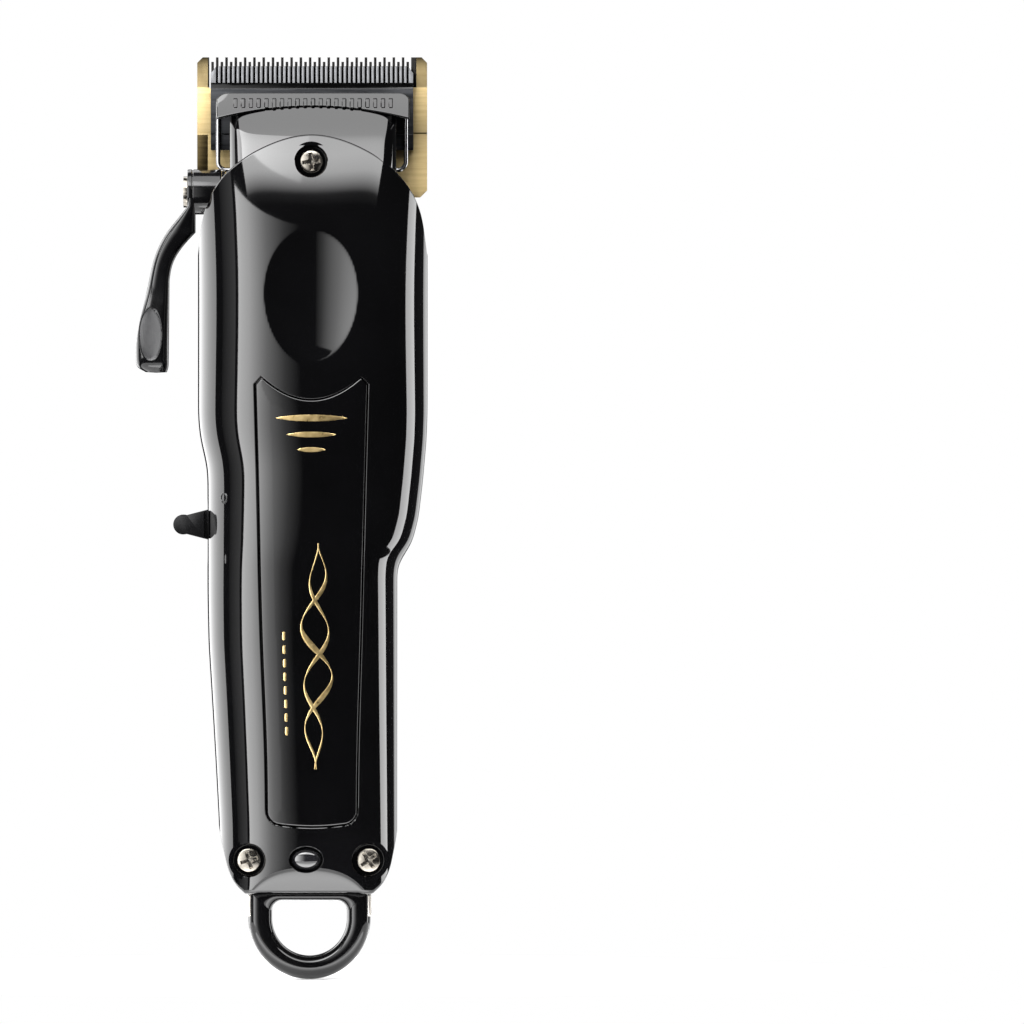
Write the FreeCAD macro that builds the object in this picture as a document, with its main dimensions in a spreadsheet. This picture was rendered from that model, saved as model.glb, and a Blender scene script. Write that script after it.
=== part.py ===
import FreeCAD, Part
import Sketcher
import math
import os
from FreeCAD import Vector as V

# Cordless adjustable hair clipper, millimetres, standing upright: +Z runs from
# the tail to the blades, -Y is the front (thumb side), +Y the back, Y = 0 is
# the parting plane of the two housing shells, Z = 0 is the tail end plane and
# X = 0 the middle of the blade set.  The hanging hook points down (-Z).

doc = FreeCAD.newDocument("HairClipper")
sheet = doc.addObject("Spreadsheet::Sheet", "Dims")

# alias, value, what it is
TABLE = [
    ("wall", 2.2, "housing wall"),
    ("tail_flat_left", -13.6, "left end of the flat tail edge"),
    ("tail_flat_right", 12.6, "right end of the flat tail edge"),
    ("hood_top", 151.6, "top of the hood rim"),
    ("lower_top", 138.6, "top end of the back shell"),
    ("nose_half", 17.2, "half width of the nose"),
    ("nose_centre", 0.3, "nose centre in x"),
    ("lip_half", 19.3, "half width of the lip"),
    ("lip_low", 155.0, "lip band lower edge at its ends"),
    ("lip_rise", 2.2, "rise of the lip band's lower edge at its middle"),
    ("lip_high", 160.0, "lip upper edge"),
    ("dimple_z", 119.2, "thumb dimple centre height"),
    ("dimple_half_x", 10.42, "dimple ellipsoid half width"),
    ("dimple_half_z", 14.7, "dimple ellipsoid half height"),
    ("dimple_half_y", 5.0, "dimple ellipsoid half depth"),
    ("dimple_out", 2.0, "dimple ellipsoid centre in front of the crown"),
    ("crown", 18.5, "front crown depth at the dimple"),
    ("label_depth", 1.2, "label recess depth"),
    ("label_gap", 0.18, "gap around the label plate"),
    ("flat_back", 19.4, "resting flat on the back"),
    ("blade_face", 2.0, "sliding plane of the two blades"),
    ("blade_tip", 167.2, "fixed blade long tooth tips"),
    ("blade_short_tip", 166.3, "fixed blade short tooth tips"),
    ("blade_rear", 139.2, "fixed blade rear edge"),
    ("blade_half", 23.0, "fixed blade half width"),
    ("blade_thick", 3.6, "fixed blade thickness"),
    ("blade_tip_thick", 0.9, "fixed blade thickness at the tips"),
    ("tooth_root", 161.0, "fixed blade tooth roots"),
    ("tooth_pitch", 0.93, "fixed blade tooth pitch"),
    ("tooth_gap", 0.42, "fixed blade gap between teeth"),
    ("first_gap", -20.395, "first gap of the fixed blade"),
    ("cutter_tip", 165.4, "moving blade tooth tips"),
    ("cutter_rear", 148.6, "moving blade rear edge"),
    ("cutter_half", 20.25, "moving blade half width"),
    ("cutter_front", -0.6, "moving blade front face"),
    ("blade_play", 0.03, "running gap between the blades"),
    ("cutter_root", 161.9, "moving blade tooth roots"),
    ("cutter_pitch", 0.93, "moving blade tooth pitch"),
    ("cutter_gap", 0.40, "moving blade gap between teeth"),
    ("pivot_y", -4.5, "lever pivot axis"),
    ("pivot_z", 140.1, "lever pivot axis"),
    ("hub_rad", 4.5, "lever hub radius"),
    ("hub_outer", -24.8, "lever hub outer face"),
    ("hub_inner", -18.0, "lever hub inner face"),
    ("hub_pocket", 4.9, "hub pocket radius in the housing"),
    ("hub_bore", 2.0, "lever shaft bore radius in the hub"),
    ("shaft_rad", 2.5, "lever cam journal radius"),
    ("cheek_bore", 2.56, "journal bore in the chassis cheek"),
    ("cheek_inner", 15.0, "chassis cheek inner face"),
    ("cheek_outer", 17.2, "chassis cheek outer face"),
    ("pin_throw", 1.4, "lever cam pin throw"),
    ("pin_angle", 195.0, "lever cam pin angle from +Y at rest"),
    ("pin_rad", 1.0, "lever cam pin radius"),
    ("slot_half", 1.06, "half height of the carriage slot"),
    ("motor_y", 0.5, "motor axis"),
    ("motor_rad", 11.5, "motor can radius"),
    ("motor_low", 88.5, "motor can lower end"),
    ("motor_high", 124.5, "motor can upper end"),
    ("can_wall", 1.2, "motor can wall"),
    ("axle_rad", 1.15, "motor shaft radius"),
    ("cam_throw", 0.95, "eccentric throw"),
    ("cam_pin_rad", 0.75, "eccentric pin radius"),
    ("fork_half", 2.75, "half width of the fork slot"),
    ("cell_rad", 9.1, "battery cell radius"),
    ("cell_low", 12.5, "battery cell lower end"),
    ("cell_high", 77.5, "battery cell upper end"),
    ("cell_x", -0.5, "battery axis"),
    ("cell_y", 0.6, "battery axis"),
    ("knob_z", 73.7, "switch knob height in the on position"),
    ("knob_root", -20.6, "switch knob root"),
    ("knob_tip", -25.7, "switch knob bead centre"),
    ("knob_bead", 2.0, "switch knob bead radius"),
    ("hook_x", -0.5, "hook centre"),
    ("hook_z", -5.0, "hook ring centre"),
    ("hook_rad", 12.2, "hook outer radius"),
    ("hook_hole", 7.5, "hook hole radius"),
    ("hook_half", 3.4, "hook half thickness"),
    ("screw_x_left", -12.4, "left rear screw"),
    ("screw_x_right", 11.4, "right rear screw"),
    ("screw_z", 6.8, "rear screws"),
    ("front_screw_z", 146.0, "front screw"),
    ("head_rad", 2.4, "screw head radius"),
    ("recess_rad", 3.3, "screw recess radius"),
    ("thread_rad", 1.3, "screw thread radius"),
    ("led_x", -1.0, "indicator lens centre"),
    ("led_z", 7.0, "indicator lens centre"),
    ("led_half_x", 3.2, "indicator lens half width"),
    ("led_half_z", 2.4, "indicator lens half height"),
    ("wire_x", 18.75, "spring leg centre"),
    ("wire_rad", 0.45, "spring wire radius"),
    ("wire_y", -1.09, "spring leg centre plane"),
    ("wire_low", 144.6, "spring cross run"),
    ("wire_high", 159.3, "spring leg top"),
    ("jack_y", 6.5, "charge socket axis"),
    ("jack_rad", 3.8, "charge socket body radius"),
    ("jack_bore", 2.8, "charge socket bore radius"),
]
for row, (alias, value, note) in enumerate(TABLE, start=1):
    sheet.set("A%d" % row, alias)
    sheet.set("B%d" % row, repr(value))
    sheet.setAlias("B%d" % row, alias)
    sheet.set("C%d" % row, note)
doc.recompute()


class Q:
    """A size that carries its number and its spreadsheet expression."""

    def __init__(self, number, text):
        self.number = number
        self.text = text

    def __float__(self):
        return self.number

    def __add__(self, other):
        return Q(self.number + float(other), "(%s + %s)" % (self.text, say(other)))

    def __radd__(self, other):
        return Q(float(other) + self.number, "(%s + %s)" % (say(other), self.text))

    def __sub__(self, other):
        return Q(self.number - float(other), "(%s - %s)" % (self.text, say(other)))

    def __rsub__(self, other):
        return Q(float(other) - self.number, "(%s - %s)" % (say(other), self.text))

    def __mul__(self, other):
        return Q(self.number * float(other), "(%s * %s)" % (self.text, say(other)))

    __rmul__ = __mul__

    def __truediv__(self, other):
        return Q(self.number / float(other), "(%s / %s)" % (self.text, say(other)))

    def __neg__(self):
        return Q(-self.number, "(0 - %s)" % self.text)


def say(value):
    return value.text if isinstance(value, Q) else "%.6g" % value


class Sizes:
    def __getattr__(self, alias):
        return Q(float(sheet.get(alias)), "Dims." + alias)


q = Sizes()
NODES = {}


def bind(obj, prop, value):
    """Set a property from the sheet when the value is a sheet size."""
    if isinstance(value, Q):
        obj.setExpression(prop, value.text)
    elif prop.startswith("Placement.Base."):
        base = obj.Placement.Base
        setattr(base, prop[-1], float(value))
        obj.Placement = FreeCAD.Placement(base, obj.Placement.Rotation)
    else:
        setattr(obj, prop, float(value))


def at(obj, x, y, z):
    for letter, value in (("x", x), ("y", y), ("z", z)):
        bind(obj, "Placement.Base." + letter, value)


def box(name, x0, x1, y0, y1, z0, z1):
    obj = doc.addObject("Part::Box", name)
    bind(obj, "Length", x1 - x0)
    bind(obj, "Width", y1 - y0)
    bind(obj, "Height", z1 - z0)
    at(obj, x0, y0, z0)
    return obj


TURN = {"z": FreeCAD.Rotation(), "x": FreeCAD.Rotation(V(0, 1, 0), 90), "y": FreeCAD.Rotation(V(1, 0, 0), -90)}


def rod(name, axis, x, y, z, radius, length):
    """Cylinder from (x, y, z) along +axis."""
    obj = doc.addObject("Part::Cylinder", name)
    obj.Placement = FreeCAD.Placement(V(0, 0, 0), TURN[axis])
    bind(obj, "Radius", radius)
    bind(obj, "Height", length)
    at(obj, x, y, z)
    return obj


def cone(name, axis, x, y, z, r1, r2, length):
    obj = doc.addObject("Part::Cone", name)
    obj.Placement = FreeCAD.Placement(V(0, 0, 0), TURN[axis])
    bind(obj, "Radius1", r1)
    bind(obj, "Radius2", r2)
    bind(obj, "Height", length)
    at(obj, x, y, z)
    return obj


def fuse(name, shapes):
    obj = doc.addObject("Part::MultiFuse", name)
    obj.Shapes = shapes
    obj.Refine = True
    return obj


def cut(name, base, tool):
    obj = doc.addObject("Part::Cut", name)
    obj.Base = base
    obj.Tool = tool
    return obj


def common(name, a, b):
    obj = doc.addObject("Part::MultiCommon", name)
    obj.Shapes = [a, b]
    return obj


def fixed(name, shape):
    """A feature whose shape is worked out here from the sheet's sizes."""
    obj = doc.addObject("Part::Feature", name)
    obj.Shape = shape
    obj.Placement = FreeCAD.Placement()
    return obj


def node(name, obj):
    obj.Label = name
    NODES[name] = obj
    return obj


def origin_plane(body, role):
    for feature in body.Origin.OriginFeatures:
        if feature.Role == role:
            return feature


def body(name):
    return doc.addObject("PartDesign::Body", name + "_body")


def sketch(owner, name, role, offset=0.0):
    """Sketch on an origin plane of its own body, moved along the plane's normal."""
    sk = owner.newObject("Sketcher::SketchObject", name)
    sk.AttachmentSupport = [(origin_plane(owner, role), "")]
    sk.MapMode = "FlatFace"
    sk.AttachmentOffset = FreeCAD.Placement(V(0, 0, float(offset)), FreeCAD.Rotation())
    if isinstance(offset, Q):
        sk.setExpression("AttachmentOffset.Base.z", offset.text)
    return sk


def dimension(sk, kind, args, value):
    index = sk.addConstraint(Sketcher.Constraint(kind, *args, float(value)))
    if isinstance(value, Q):
        label = "c%d" % index
        sk.renameConstraint(index, label)
        sk.setExpression("Constraints." + label, value.text)


def loop(sk, points):
    """Closed run of straight lines through fully dimensioned points."""
    start = sk.GeometryCount
    count = len(points)
    for i in range(count):
        (ax, ay), (bx, by) = points[i], points[(i + 1) % count]
        sk.addGeometry(Part.LineSegment(V(float(ax), float(ay), 0), V(float(bx), float(by), 0)), False)
    for i in range(count):
        sk.addConstraint(Sketcher.Constraint("Coincident", start + i, 2, start + (i + 1) % count, 1))
    for i, (x, y) in enumerate(points):
        dimension(sk, "DistanceX", (-1, 1, start + i, 1), x)
        dimension(sk, "DistanceY", (-1, 1, start + i, 1), y)
    return sk


def rect(sk, x0, x1, y0, y1):
    return loop(sk, [(x0, y0), (x1, y0), (x1, y1), (x0, y1)])


def ring(sk, x, y, radius):
    index = sk.addGeometry(Part.Circle(V(float(x), float(y), 0), V(0, 0, 1), float(radius)), False)
    dimension(sk, "DistanceX", (-1, 1, index, 3), x)
    dimension(sk, "DistanceY", (-1, 1, index, 3), y)
    dimension(sk, "Radius", (index,), radius)
    return sk


def pad(owner, sk, name, length, both=False, back=False):
    feature = owner.newObject("PartDesign::Pad", name)
    feature.Profile = sk
    bind(feature, "Length", length)
    feature.Midplane = both
    feature.Reversed = back
    doc.recompute()
    return feature


def pocket(owner, sk, name, length=None, both=False, back=False):
    """Pocket that must take material away."""
    doc.recompute()
    before = owner.Shape.Volume
    feature = owner.newObject("PartDesign::Pocket", name)
    feature.Profile = sk
    if length is None:
        feature.Type = 1
    else:
        bind(feature, "Length", length)
    feature.Midplane = both
    feature.Reversed = back
    doc.recompute()
    if not owner.Shape.Volume < before - 1e-6:
        raise RuntimeError("pocket %s cuts nothing" % name)
    return feature


def row_of(owner, feature, sk, axis, length, count, name):
    pattern = owner.newObject("PartDesign::LinearPattern", name)
    pattern.Originals = [feature]
    pattern.Direction = (sk, [axis])
    bind(pattern, "Length", length)
    pattern.Occurrences = count
    owner.Tip = pattern
    doc.recompute()
    return pattern


# ---------------------------------------------------------------- housing skin
# Half widths and depths of the body along its height.  Each table is softened
# with a bell curve, so the skin has no kinks.
LEFT = [(-20, 18.1), (0, 18.25), (14, 18.6), (26, 19.25), (38, 19.95), (50, 20.7), (60, 20.9), (82, 20.9),
        (85, 21.0), (91, 22.4), (95, 22.8), (180, 22.8)]
RIGHT = [(-20, 17.0), (65, 17.05), (66.5, 17.7), (70.0, 20.0), (75, 21.3), (82.6, 22.2), (90.6, 22.9),
         (96, 23.1), (180, 23.1)]
FRONT = [(-20, 12.2), (0, 13.0), (40, 15.0), (90, 17.0), (114, 18.5), (122, 18.5), (135, 16.6), (145, 14.0),
         (151.6, 11.8), (162, 8.4)]
BACK = [(-20, 13.0), (0, 13.6), (40, 15.2), (80, 16.8), (102, 20.2), (120, 20.2), (129, 17.0), (135, 12.6),
        (139, 8.6), (150, 0.8)]


def linear(table, z):
    if z <= table[0][0]:
        return table[0][1]
    for (z0, v0), (z1, v1) in zip(table, table[1:]):
        if z <= z1:
            return v0 + (v1 - v0) * (z - z0) / (z1 - z0)
    return table[-1][1]


def soft(table, z, sigma):
    total = weight = 0.0
    for k in range(-8, 9):
        u = k * 0.3125
        bell = math.exp(-u * u / 2)
        total += bell * linear(table, z + u * sigma)
        weight += bell
    return total / weight


def body_section(side, z, offset):
    left, right = soft(LEFT, z, 1.6), soft(RIGHT, z, 1.3)
    depth = soft(FRONT, z, 4.0) if side < 0 else soft(BACK, z, 3.0)
    return (right - left) / 2, (right + left) / 2 - offset, side * (depth - offset), 4.0, 0.35


def nose_section(side, z, offset):
    depth = soft([(120, 16.2), (135, 15.4), (145, 13.4), (151.6, 11.0), (157, 7.2), (162, 4.6), (170, 3.0)], z, 1.2)
    return float(q.nose_centre), float(q.nose_half) - offset, side * (depth - offset), 7.0, 0.3


def skin(section, side, offset, z_rows, columns=26):
    """Solid between the parting plane and the crowned skin."""
    grid = []
    for z in z_rows:
        centre, half, depth, power, crown = section(side, z, offset)
        line = []
        for k in range(columns + 1):
            a = math.pi * (k / columns - 0.5)
            u, c = math.sin(a), math.cos(a)
            if k in (0, columns):
                c, square = 0.0, 0.0
            else:
                square = math.sqrt(max(0.0, 1.0 - abs(u) ** power))
            line.append(V(centre + half * u, depth * ((1 - crown) * square + crown * c), z))
        grid.append(line)
    surface = Part.BSplineSurface()
    surface.interpolate(grid)
    face = surface.toShape()
    z0, z1 = z_rows[0], z_rows[-1]
    low = high = None
    sides = []
    for edge in face.Edges:
        bb = edge.BoundBox
        if bb.ZMax - bb.ZMin < 1e-4 and abs(bb.ZMin - z0) < 1e-3:
            low = edge
        elif bb.ZMax - bb.ZMin < 1e-4:
            high = edge
        else:
            sides.append(edge)
    closing_low = Part.makeLine(grid[0][0], grid[0][-1])
    closing_high = Part.makeLine(grid[-1][0], grid[-1][-1])
    faces = [face,
             Part.Face(Part.Wire(Part.__sortEdges__([low, closing_low]))),
             Part.Face(Part.Wire(Part.__sortEdges__([high, closing_high]))),
             Part.Face(Part.Wire(Part.__sortEdges__([sides[0], closing_low, sides[1], closing_high])))]
    shell = Part.makeShell(faces)
    shell.sewShape()
    solid = Part.makeSolid(Part.Shell(shell.Faces))
    if solid.Volume < 0:
        solid.reverse()
    return solid


def rows(z0, z1):
    marks = [-4, 2, 10, 20, 32, 44, 54, 60, 63.5, 66, 68, 70, 72.5, 76, 80, 84, 87, 90, 93, 97, 104, 112, 119,
             126, 132, 137, 142, 147, 151, 155, 160]
    return [z0] + [m for m in marks if z0 + 1.2 < m < z1 - 1.2] + [z1]


def outline(inset):
    """Front view outline: tail corners and the domed hood, extruded front to back."""
    dome = [(24.2, 124), (23.25, 130.3), (22.6, 134.6), (20.7, 139.6), (17.4, 143.9), (10.0, 149.0),
            (0.1, 151.6), (-9.8, 149.0), (-17.2, 143.9), (-20.4, 139.6), (-22.3, 134.6), (-22.95, 130.3), (-23.9, 124)]
    tail_right = [(12.6, 0.0), (14.4, 1.5), (16.1, 4.2), (17.0, 7.4), (18.2, 14)]
    tail_left = [(-19.6, 14), (-18.15, 7.4), (-17.1, 4.2), (-15.4, 1.5), (-13.6, 0.0)]
    scale = lambda x, z: (x - math.copysign(inset, x), z)
    dome = [(scale(x, z)[0] if abs(x) > 3 else x, z - inset * max(0.0, (z - 130) / 21.6)) for x, z in dome]
    tail_right = [(x - inset, z + inset) for x, z in tail_right]
    tail_left = [(x + inset, z + inset) for x, z in tail_left]

    def spline(points):
        curve = Part.BSplineCurve()
        curve.interpolate([V(x, -40, z) for x, z in points])
        return curve.toShape()

    pts = lambda p: V(p[0], -40, p[1])
    edges = [Part.makeLine(pts(tail_left[-1]), pts(tail_right[0])), spline(tail_right),
             Part.makeLine(pts(tail_right[-1]), pts((30, 16))), Part.makeLine(pts((30, 16)), pts((30, 122))),
             Part.makeLine(pts((30, 122)), pts(dome[0])), spline(dome),
             Part.makeLine(pts(dome[-1]), pts((-30, 122))), Part.makeLine(pts((-30, 122)), pts((-30, 16))),
             Part.makeLine(pts((-30, 16)), pts(tail_left[0])), spline(tail_left)]
    return Part.Face(Part.Wire(edges)).extrude(V(0, 80, 0))


def block(x0, x1, y0, y1, z0, z1):
    return Part.makeBox(x1 - x0, y1 - y0, z1 - z0, V(x0, y0, z0))


def cylinder(axis, x, y, z, radius, length):
    direction = {"x": V(1, 0, 0), "y": V(0, 1, 0), "z": V(0, 0, 1)}[axis]
    return Part.makeCylinder(radius, length, V(x, y, z), direction)


def ellipsoid(x, y, z, a, b, c):
    ball = Part.makeSphere(1.0)
    matrix = FreeCAD.Matrix(a, 0, 0, x, 0, b, 0, y, 0, 0, c, z, 0, 0, 0, 1)
    return ball.transformGeometry(matrix)


def prism_xz(points, y0, y1, smooth=False):
    """Straight-sided or smooth outline in the X-Z plane, extruded from y0 to y1."""
    if smooth:
        curve = Part.BSplineCurve()
        curve.interpolate([V(x, y0, z) for x, z in points], PeriodicFlag=True)
        wire = Part.Wire([curve.toShape()])
    else:
        wire = Part.makePolygon([V(x, y0, z) for x, z in points] + [V(points[0][0], y0, points[0][1])])
    return Part.Face(wire).extrude(V(0, y1 - y0, 0))


def label_outline(gap):
    """Label panel: two peaks at the top, concave arc between, slightly narrower and round at the tail."""
    g = gap
    top_left, top_right = (-9.9 + g, 103.0 - g), (10.0 - g, 103.0 - g)
    shoulder_left, shoulder_right = (-11.2 + g, 101.6 - g), (11.4 - g, 101.6 - g)
    a = Part.Arc(V(top_right[0], -40, top_right[1]), V(0.1, -40, 98.6 - g), V(top_left[0], -40, top_left[1])).toShape()
    left = Part.BSplineCurve()
    left.interpolate([V(shoulder_left[0], -40, shoulder_left[1]), V(-10.75 + g, -40, 84), V(-9.85 + g, -40, 48),
                      V(-9.05 + g, -40, 26), V(-8.95 + g, -40, 17.2)])
    right = Part.BSplineCurve()
    right.interpolate([V(shoulder_right[0], -40, shoulder_right[1]), V(10.9 - g, -40, 84), V(10.0 - g, -40, 48),
                       V(9.4 - g, -40, 26), V(9.3 - g, -40, 17.2)])
    low_left, low_right = V(-6.6, -40, 13.9 + g), V(7.0, -40, 13.9 + g)
    edges = [a,
             Part.makeLine(V(top_left[0], -40, top_left[1]), V(shoulder_left[0], -40, shoulder_left[1])),
             left.toShape(),
             Part.Arc(V(-8.95 + g, -40, 17.2), V(-8.35 + g * 0.7, -40, 14.9 + g * 0.7), low_left).toShape(),
             Part.Arc(low_left, V(0.2, -40, 13.4 + g), low_right).toShape(),
             Part.Arc(low_right, V(8.7 - g * 0.7, -40, 14.9 + g * 0.7), V(9.3 - g, -40, 17.2)).toShape(),
             right.toShape(),
             Part.makeLine(V(shoulder_right[0], -40, shoulder_right[1]), V(top_right[0], -40, top_right[1]))]
    return Part.Face(Part.Wire(Part.__sortEdges__(edges))).extrude(V(0, 60, 0))


WALL = float(q.wall)
PY, PZ = float(q.pivot_y), float(q.pivot_z)
front_full = skin(body_section, -1, 0.0, rows(0.0, 158.0))
front_label_floor = skin(body_section, -1, float(q.label_depth), rows(5.0, 120.0))
front_inner = skin(body_section, -1, WALL, rows(WALL, 149.2))

# --- upper housing: crowned front shell with hood, nose and lip
shell = front_full.common(outline(0.0))
nose = skin(nose_section, -1, 0.0, [134, 138, 142, 146, 149, 152, 154, 156, 158, 159.2])
nose = nose.cut(block(-30, 30, -2.4, 1, 130, 170))
lip_x0, lip_x1 = float(q.nose_centre) - float(q.lip_half), float(q.nose_centre) + float(q.lip_half)
lip_profile = Part.makePolygon([V(lip_x0, y, z) for y, z in
                                [(-2.4, 153.4), (-7.6, 153.4), (-8.1, 155.2), (-7.1, 157.6), (-5.6, 159.5),
                                 (-4.8, 160.0), (-2.4, 160.0), (-2.4, 153.4)]])
lip = Part.Face(lip_profile).extrude(V(lip_x1 - lip_x0, 0, 0))
low_arc = Part.Arc(V(lip_x0 - 1, -12, float(q.lip_low) - 0.3), V(float(q.nose_centre), -12, float(q.lip_low) + float(q.lip_rise)),
                   V(lip_x1 + 1, -12, float(q.lip_low) - 0.3)).toShape()
below_lip = Part.Face(Part.Wire(Part.__sortEdges__([
    low_arc,
    Part.makeLine(V(lip_x1 + 1, -12, float(q.lip_low) - 0.3), V(lip_x1 + 1, -12, 150)),
    Part.makeLine(V(lip_x1 + 1, -12, 150), V(lip_x0 - 1, -12, 150)),
    Part.makeLine(V(lip_x0 - 1, -12, 150), V(lip_x0 - 1, -12, float(q.lip_low) - 0.3))]))).extrude(V(0, 12, 0))
lip = lip.cut(below_lip)
corner = 2.2
for sx, x_end in ((-1, lip_x0), (1, lip_x1)):
    square_bit = block(min(x_end, x_end - sx * corner), max(x_end, x_end - sx * corner), -14, 0, 160 - corner, 161)
    lip = lip.cut(square_bit.cut(cylinder("y", x_end - sx * corner, -15, 160 - corner, corner, 16)))
shell = shell.fuse([nose, lip])

inner_front = front_inner.common(outline(WALL))
dimple = ellipsoid(0.15, -float(q.crown) - float(q.dimple_out), float(q.dimple_z),
                   float(q.dimple_half_x), float(q.dimple_half_y), float(q.dimple_half_z))
dimple_back = ellipsoid(0.15, -float(q.crown) - float(q.dimple_out), float(q.dimple_z),
                        float(q.dimple_half_x) + 1.8, float(q.dimple_half_y) + 1.8, float(q.dimple_half_z) + 1.8)
inner_front = inner_front.cut(dimple_back)
inner_nose = skin(nose_section, -1, 1.9, [139, 142, 146, 149, 152, 154, 156, 158.2])
inner_lip = block(float(q.nose_centre) - float(q.nose_half) + 1.9, float(q.nose_centre) + float(q.nose_half) - 1.9, -3.4, 1, 140, 161)

bosses = []
for sx in (float(q.screw_x_left), float(q.screw_x_right)):
    bosses.append(cylinder("y", sx, -11.5, float(q.screw_z), 4.1, 11.5))
bosses.append(cylinder("y", 0, -12.6, float(q.front_screw_z), 4.6, 4.6))
boss_block = bosses[0].fuse(bosses[1:]).common(front_full.common(outline(0.4)))
shell = shell.cut([inner_front, inner_nose, inner_lip]).fuse(boss_block)

cutters = [dimple, label_outline(0.0).cut(front_label_floor)]
for sx in (float(q.screw_x_left), float(q.screw_x_right)):
    cutters.append(cylinder("y", sx, -20, float(q.screw_z), float(q.recess_rad), 10.9))
    cutters.append(cylinder("y", sx, -20, float(q.screw_z), 1.5, 21))
cutters.append(cylinder("y", 0, -20, float(q.front_screw_z), float(q.recess_rad) - 0.1, 9.8))
cutters.append(cylinder("y", 0, -20, float(q.front_screw_z), 1.5, 21))
lens_x, lens_z = float(q.led_half_x), float(q.led_half_z)
lens_ring = [(math.cos(k * math.pi / 12), math.sin(k * math.pi / 12)) for k in range(24)]
cutters.append(prism_xz([(float(q.led_x) + (lens_x + 0.1) * u, float(q.led_z) + (lens_z + 0.1) * v) for u, v in lens_ring],
                        -20, -9, True))
# hub pocket, open to the side
cutters.append(cylinder("x", -30, PY, PZ, float(q.hub_pocket), 30 - 17.2))
# room for the chassis, the carriage and the spring's cross run
cutters.append(block(-17.35, 17.35, -8.12, 1, 124.0, 143.2))
cutters.append(block(-16.45, 16.45, -8.12, 1, 142.0, 144.3))
cutters.append(block(-15.3, 15.3, -8.12, 1, 142.0, 149.0))
cutters.append(block(-21, 21, -2.4, 1, 142.9, 153))
cutters.append(block(-21, -17.2, -1.2, 1, 141.2, 143.2))
# switch slot across the parting plane
slot_low, slot_high = float(q.knob_z) - 8.2, float(q.knob_z) + 5.2
cutters.append(block(-30, -14, -1.7, 1.7, slot_low, slot_high))
# hook root opening in the tail wall
cutters.append(block(-7.1, 6.1, -3.5, 5, -1, 4))
# tail facet: a plane that leaves a crescent on the crowned front
facet = Part.Face(Part.makePolygon([V(-30, -13.0, 4.3), V(-30, -10.9, -0.6), V(-30, -30, -0.6), V(-30, -30, 4.3),
                                    V(-30, -13.0, 4.3)])).extrude(V(60, 0, 0))
cutters.append(facet)
for tool in cutters:
    shell = shell.cut(tool)
upper = node("upper_housing", fixed("upper_housing_shell", shell.removeSplitter()))

# --- label plate: crowned inlay in the recess, standing a hair proud
plate = label_outline(float(q.label_gap)).common(skin(body_section, -1, -0.12, rows(5.0, 120.0))).cut(front_label_floor)
node("label_plate", fixed("label_plate_inlay", plate))

# --- lower housing: back shell
back_full = skin(body_section, 1, 0.0, rows(0.0, float(q.lower_top)))
back_inner = skin(body_section, 1, WALL, rows(WALL, 145.0))
back = back_full.common(outline(0.0)).cut(block(-40, 40, float(q.flat_back), 40, -5, 160))
inner_back = back_inner.common(outline(WALL)).cut(block(-40, 40, float(q.flat_back) - WALL, 40, -5, 160))
back = back.cut(inner_back)
posts = [cylinder("y", float(q.screw_x_left), 0, float(q.screw_z), 3.6, 13), cylinder("y", float(q.screw_x_right), 0, float(q.screw_z), 3.6, 13)]
back = back.fuse(posts[0].fuse(posts[1]).common(back_full.common(outline(0.4))))
for tool in [cylinder("y", float(q.screw_x_left), -1, float(q.screw_z), float(q.thread_rad), 8.5),
             cylinder("y", float(q.screw_x_right), -1, float(q.screw_z), float(q.thread_rad), 8.5),
             cylinder("x", -30, PY, PZ, float(q.hub_pocket), 30 - 14),
             block(-30, -14, -1.7, 1.7, slot_low, slot_high),
             block(-7.1, 6.1, -5, 2.3, -1, 4),
             cylinder("z", 0, float(q.jack_y), -1, float(q.jack_rad) + 0.05, 5)]:
    back = back.cut(tool)
node("lower_housing", fixed("lower_housing_shell", back.removeSplitter()))
doc.recompute()

# ------------------------------------------------------------- fixed blade
fb = body("fixed_blade")
sk = sketch(fb, "fixed_blade_profile", "YZ_Plane")
face_y, tip, rear = q.blade_face, q.blade_tip, q.blade_rear
loop(sk, [(face_y, rear), (face_y + q.blade_thick - 0.5, rear), (face_y + q.blade_thick, rear + 0.5),
          (face_y + q.blade_thick, 156.0), (face_y + q.blade_tip_thick, tip), (face_y, tip)])
pad(fb, sk, "fixed_blade_pad", q.blade_half * 2, both=True)
sk = sketch(fb, "fixed_blade_corners", "XZ_Plane", -7.0)
bh = q.blade_half
loop(sk, [(-bh - 1, tip - 1.1), (-bh, tip - 1.1), (-bh + 1.1, tip), (-bh + 1.1, tip + 1), (-bh - 1, tip + 1)])
loop(sk, [(bh + 1, tip - 1.1), (bh, tip - 1.1), (bh - 1.1, tip), (bh - 1.1, tip + 1), (bh + 1, tip + 1)])
loop(sk, [(-bh - 1, rear + 1.4), (-bh, rear + 1.4), (-bh + 1.4, rear), (-bh + 1.4, rear - 1), (-bh - 1, rear - 1)])
loop(sk, [(bh + 1, rear + 1.4), (bh, rear + 1.4), (bh - 1.4, rear), (bh - 1.4, rear - 1), (bh + 1, rear - 1)])
pocket(fb, sk, "fixed_blade_corner_cuts", 20, both=True)
sk = sketch(fb, "fixed_blade_first_gap", "XZ_Plane", -7.0)
rect(sk, q.first_gap - q.tooth_gap / 2, q.first_gap + q.tooth_gap / 2, q.tooth_root, tip + 1)
gap = pocket(fb, sk, "fixed_blade_gap", 20, both=True)
row_of(fb, gap, sk, "H_Axis", q.tooth_pitch * 43, 44, "fixed_blade_gaps")
sk = sketch(fb, "fixed_blade_first_short", "XZ_Plane", -7.0)
rect(sk, q.first_gap + q.tooth_pitch / 2 - 0.4, q.first_gap + q.tooth_pitch / 2 + 0.4, q.blade_short_tip, tip + 1)
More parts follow.
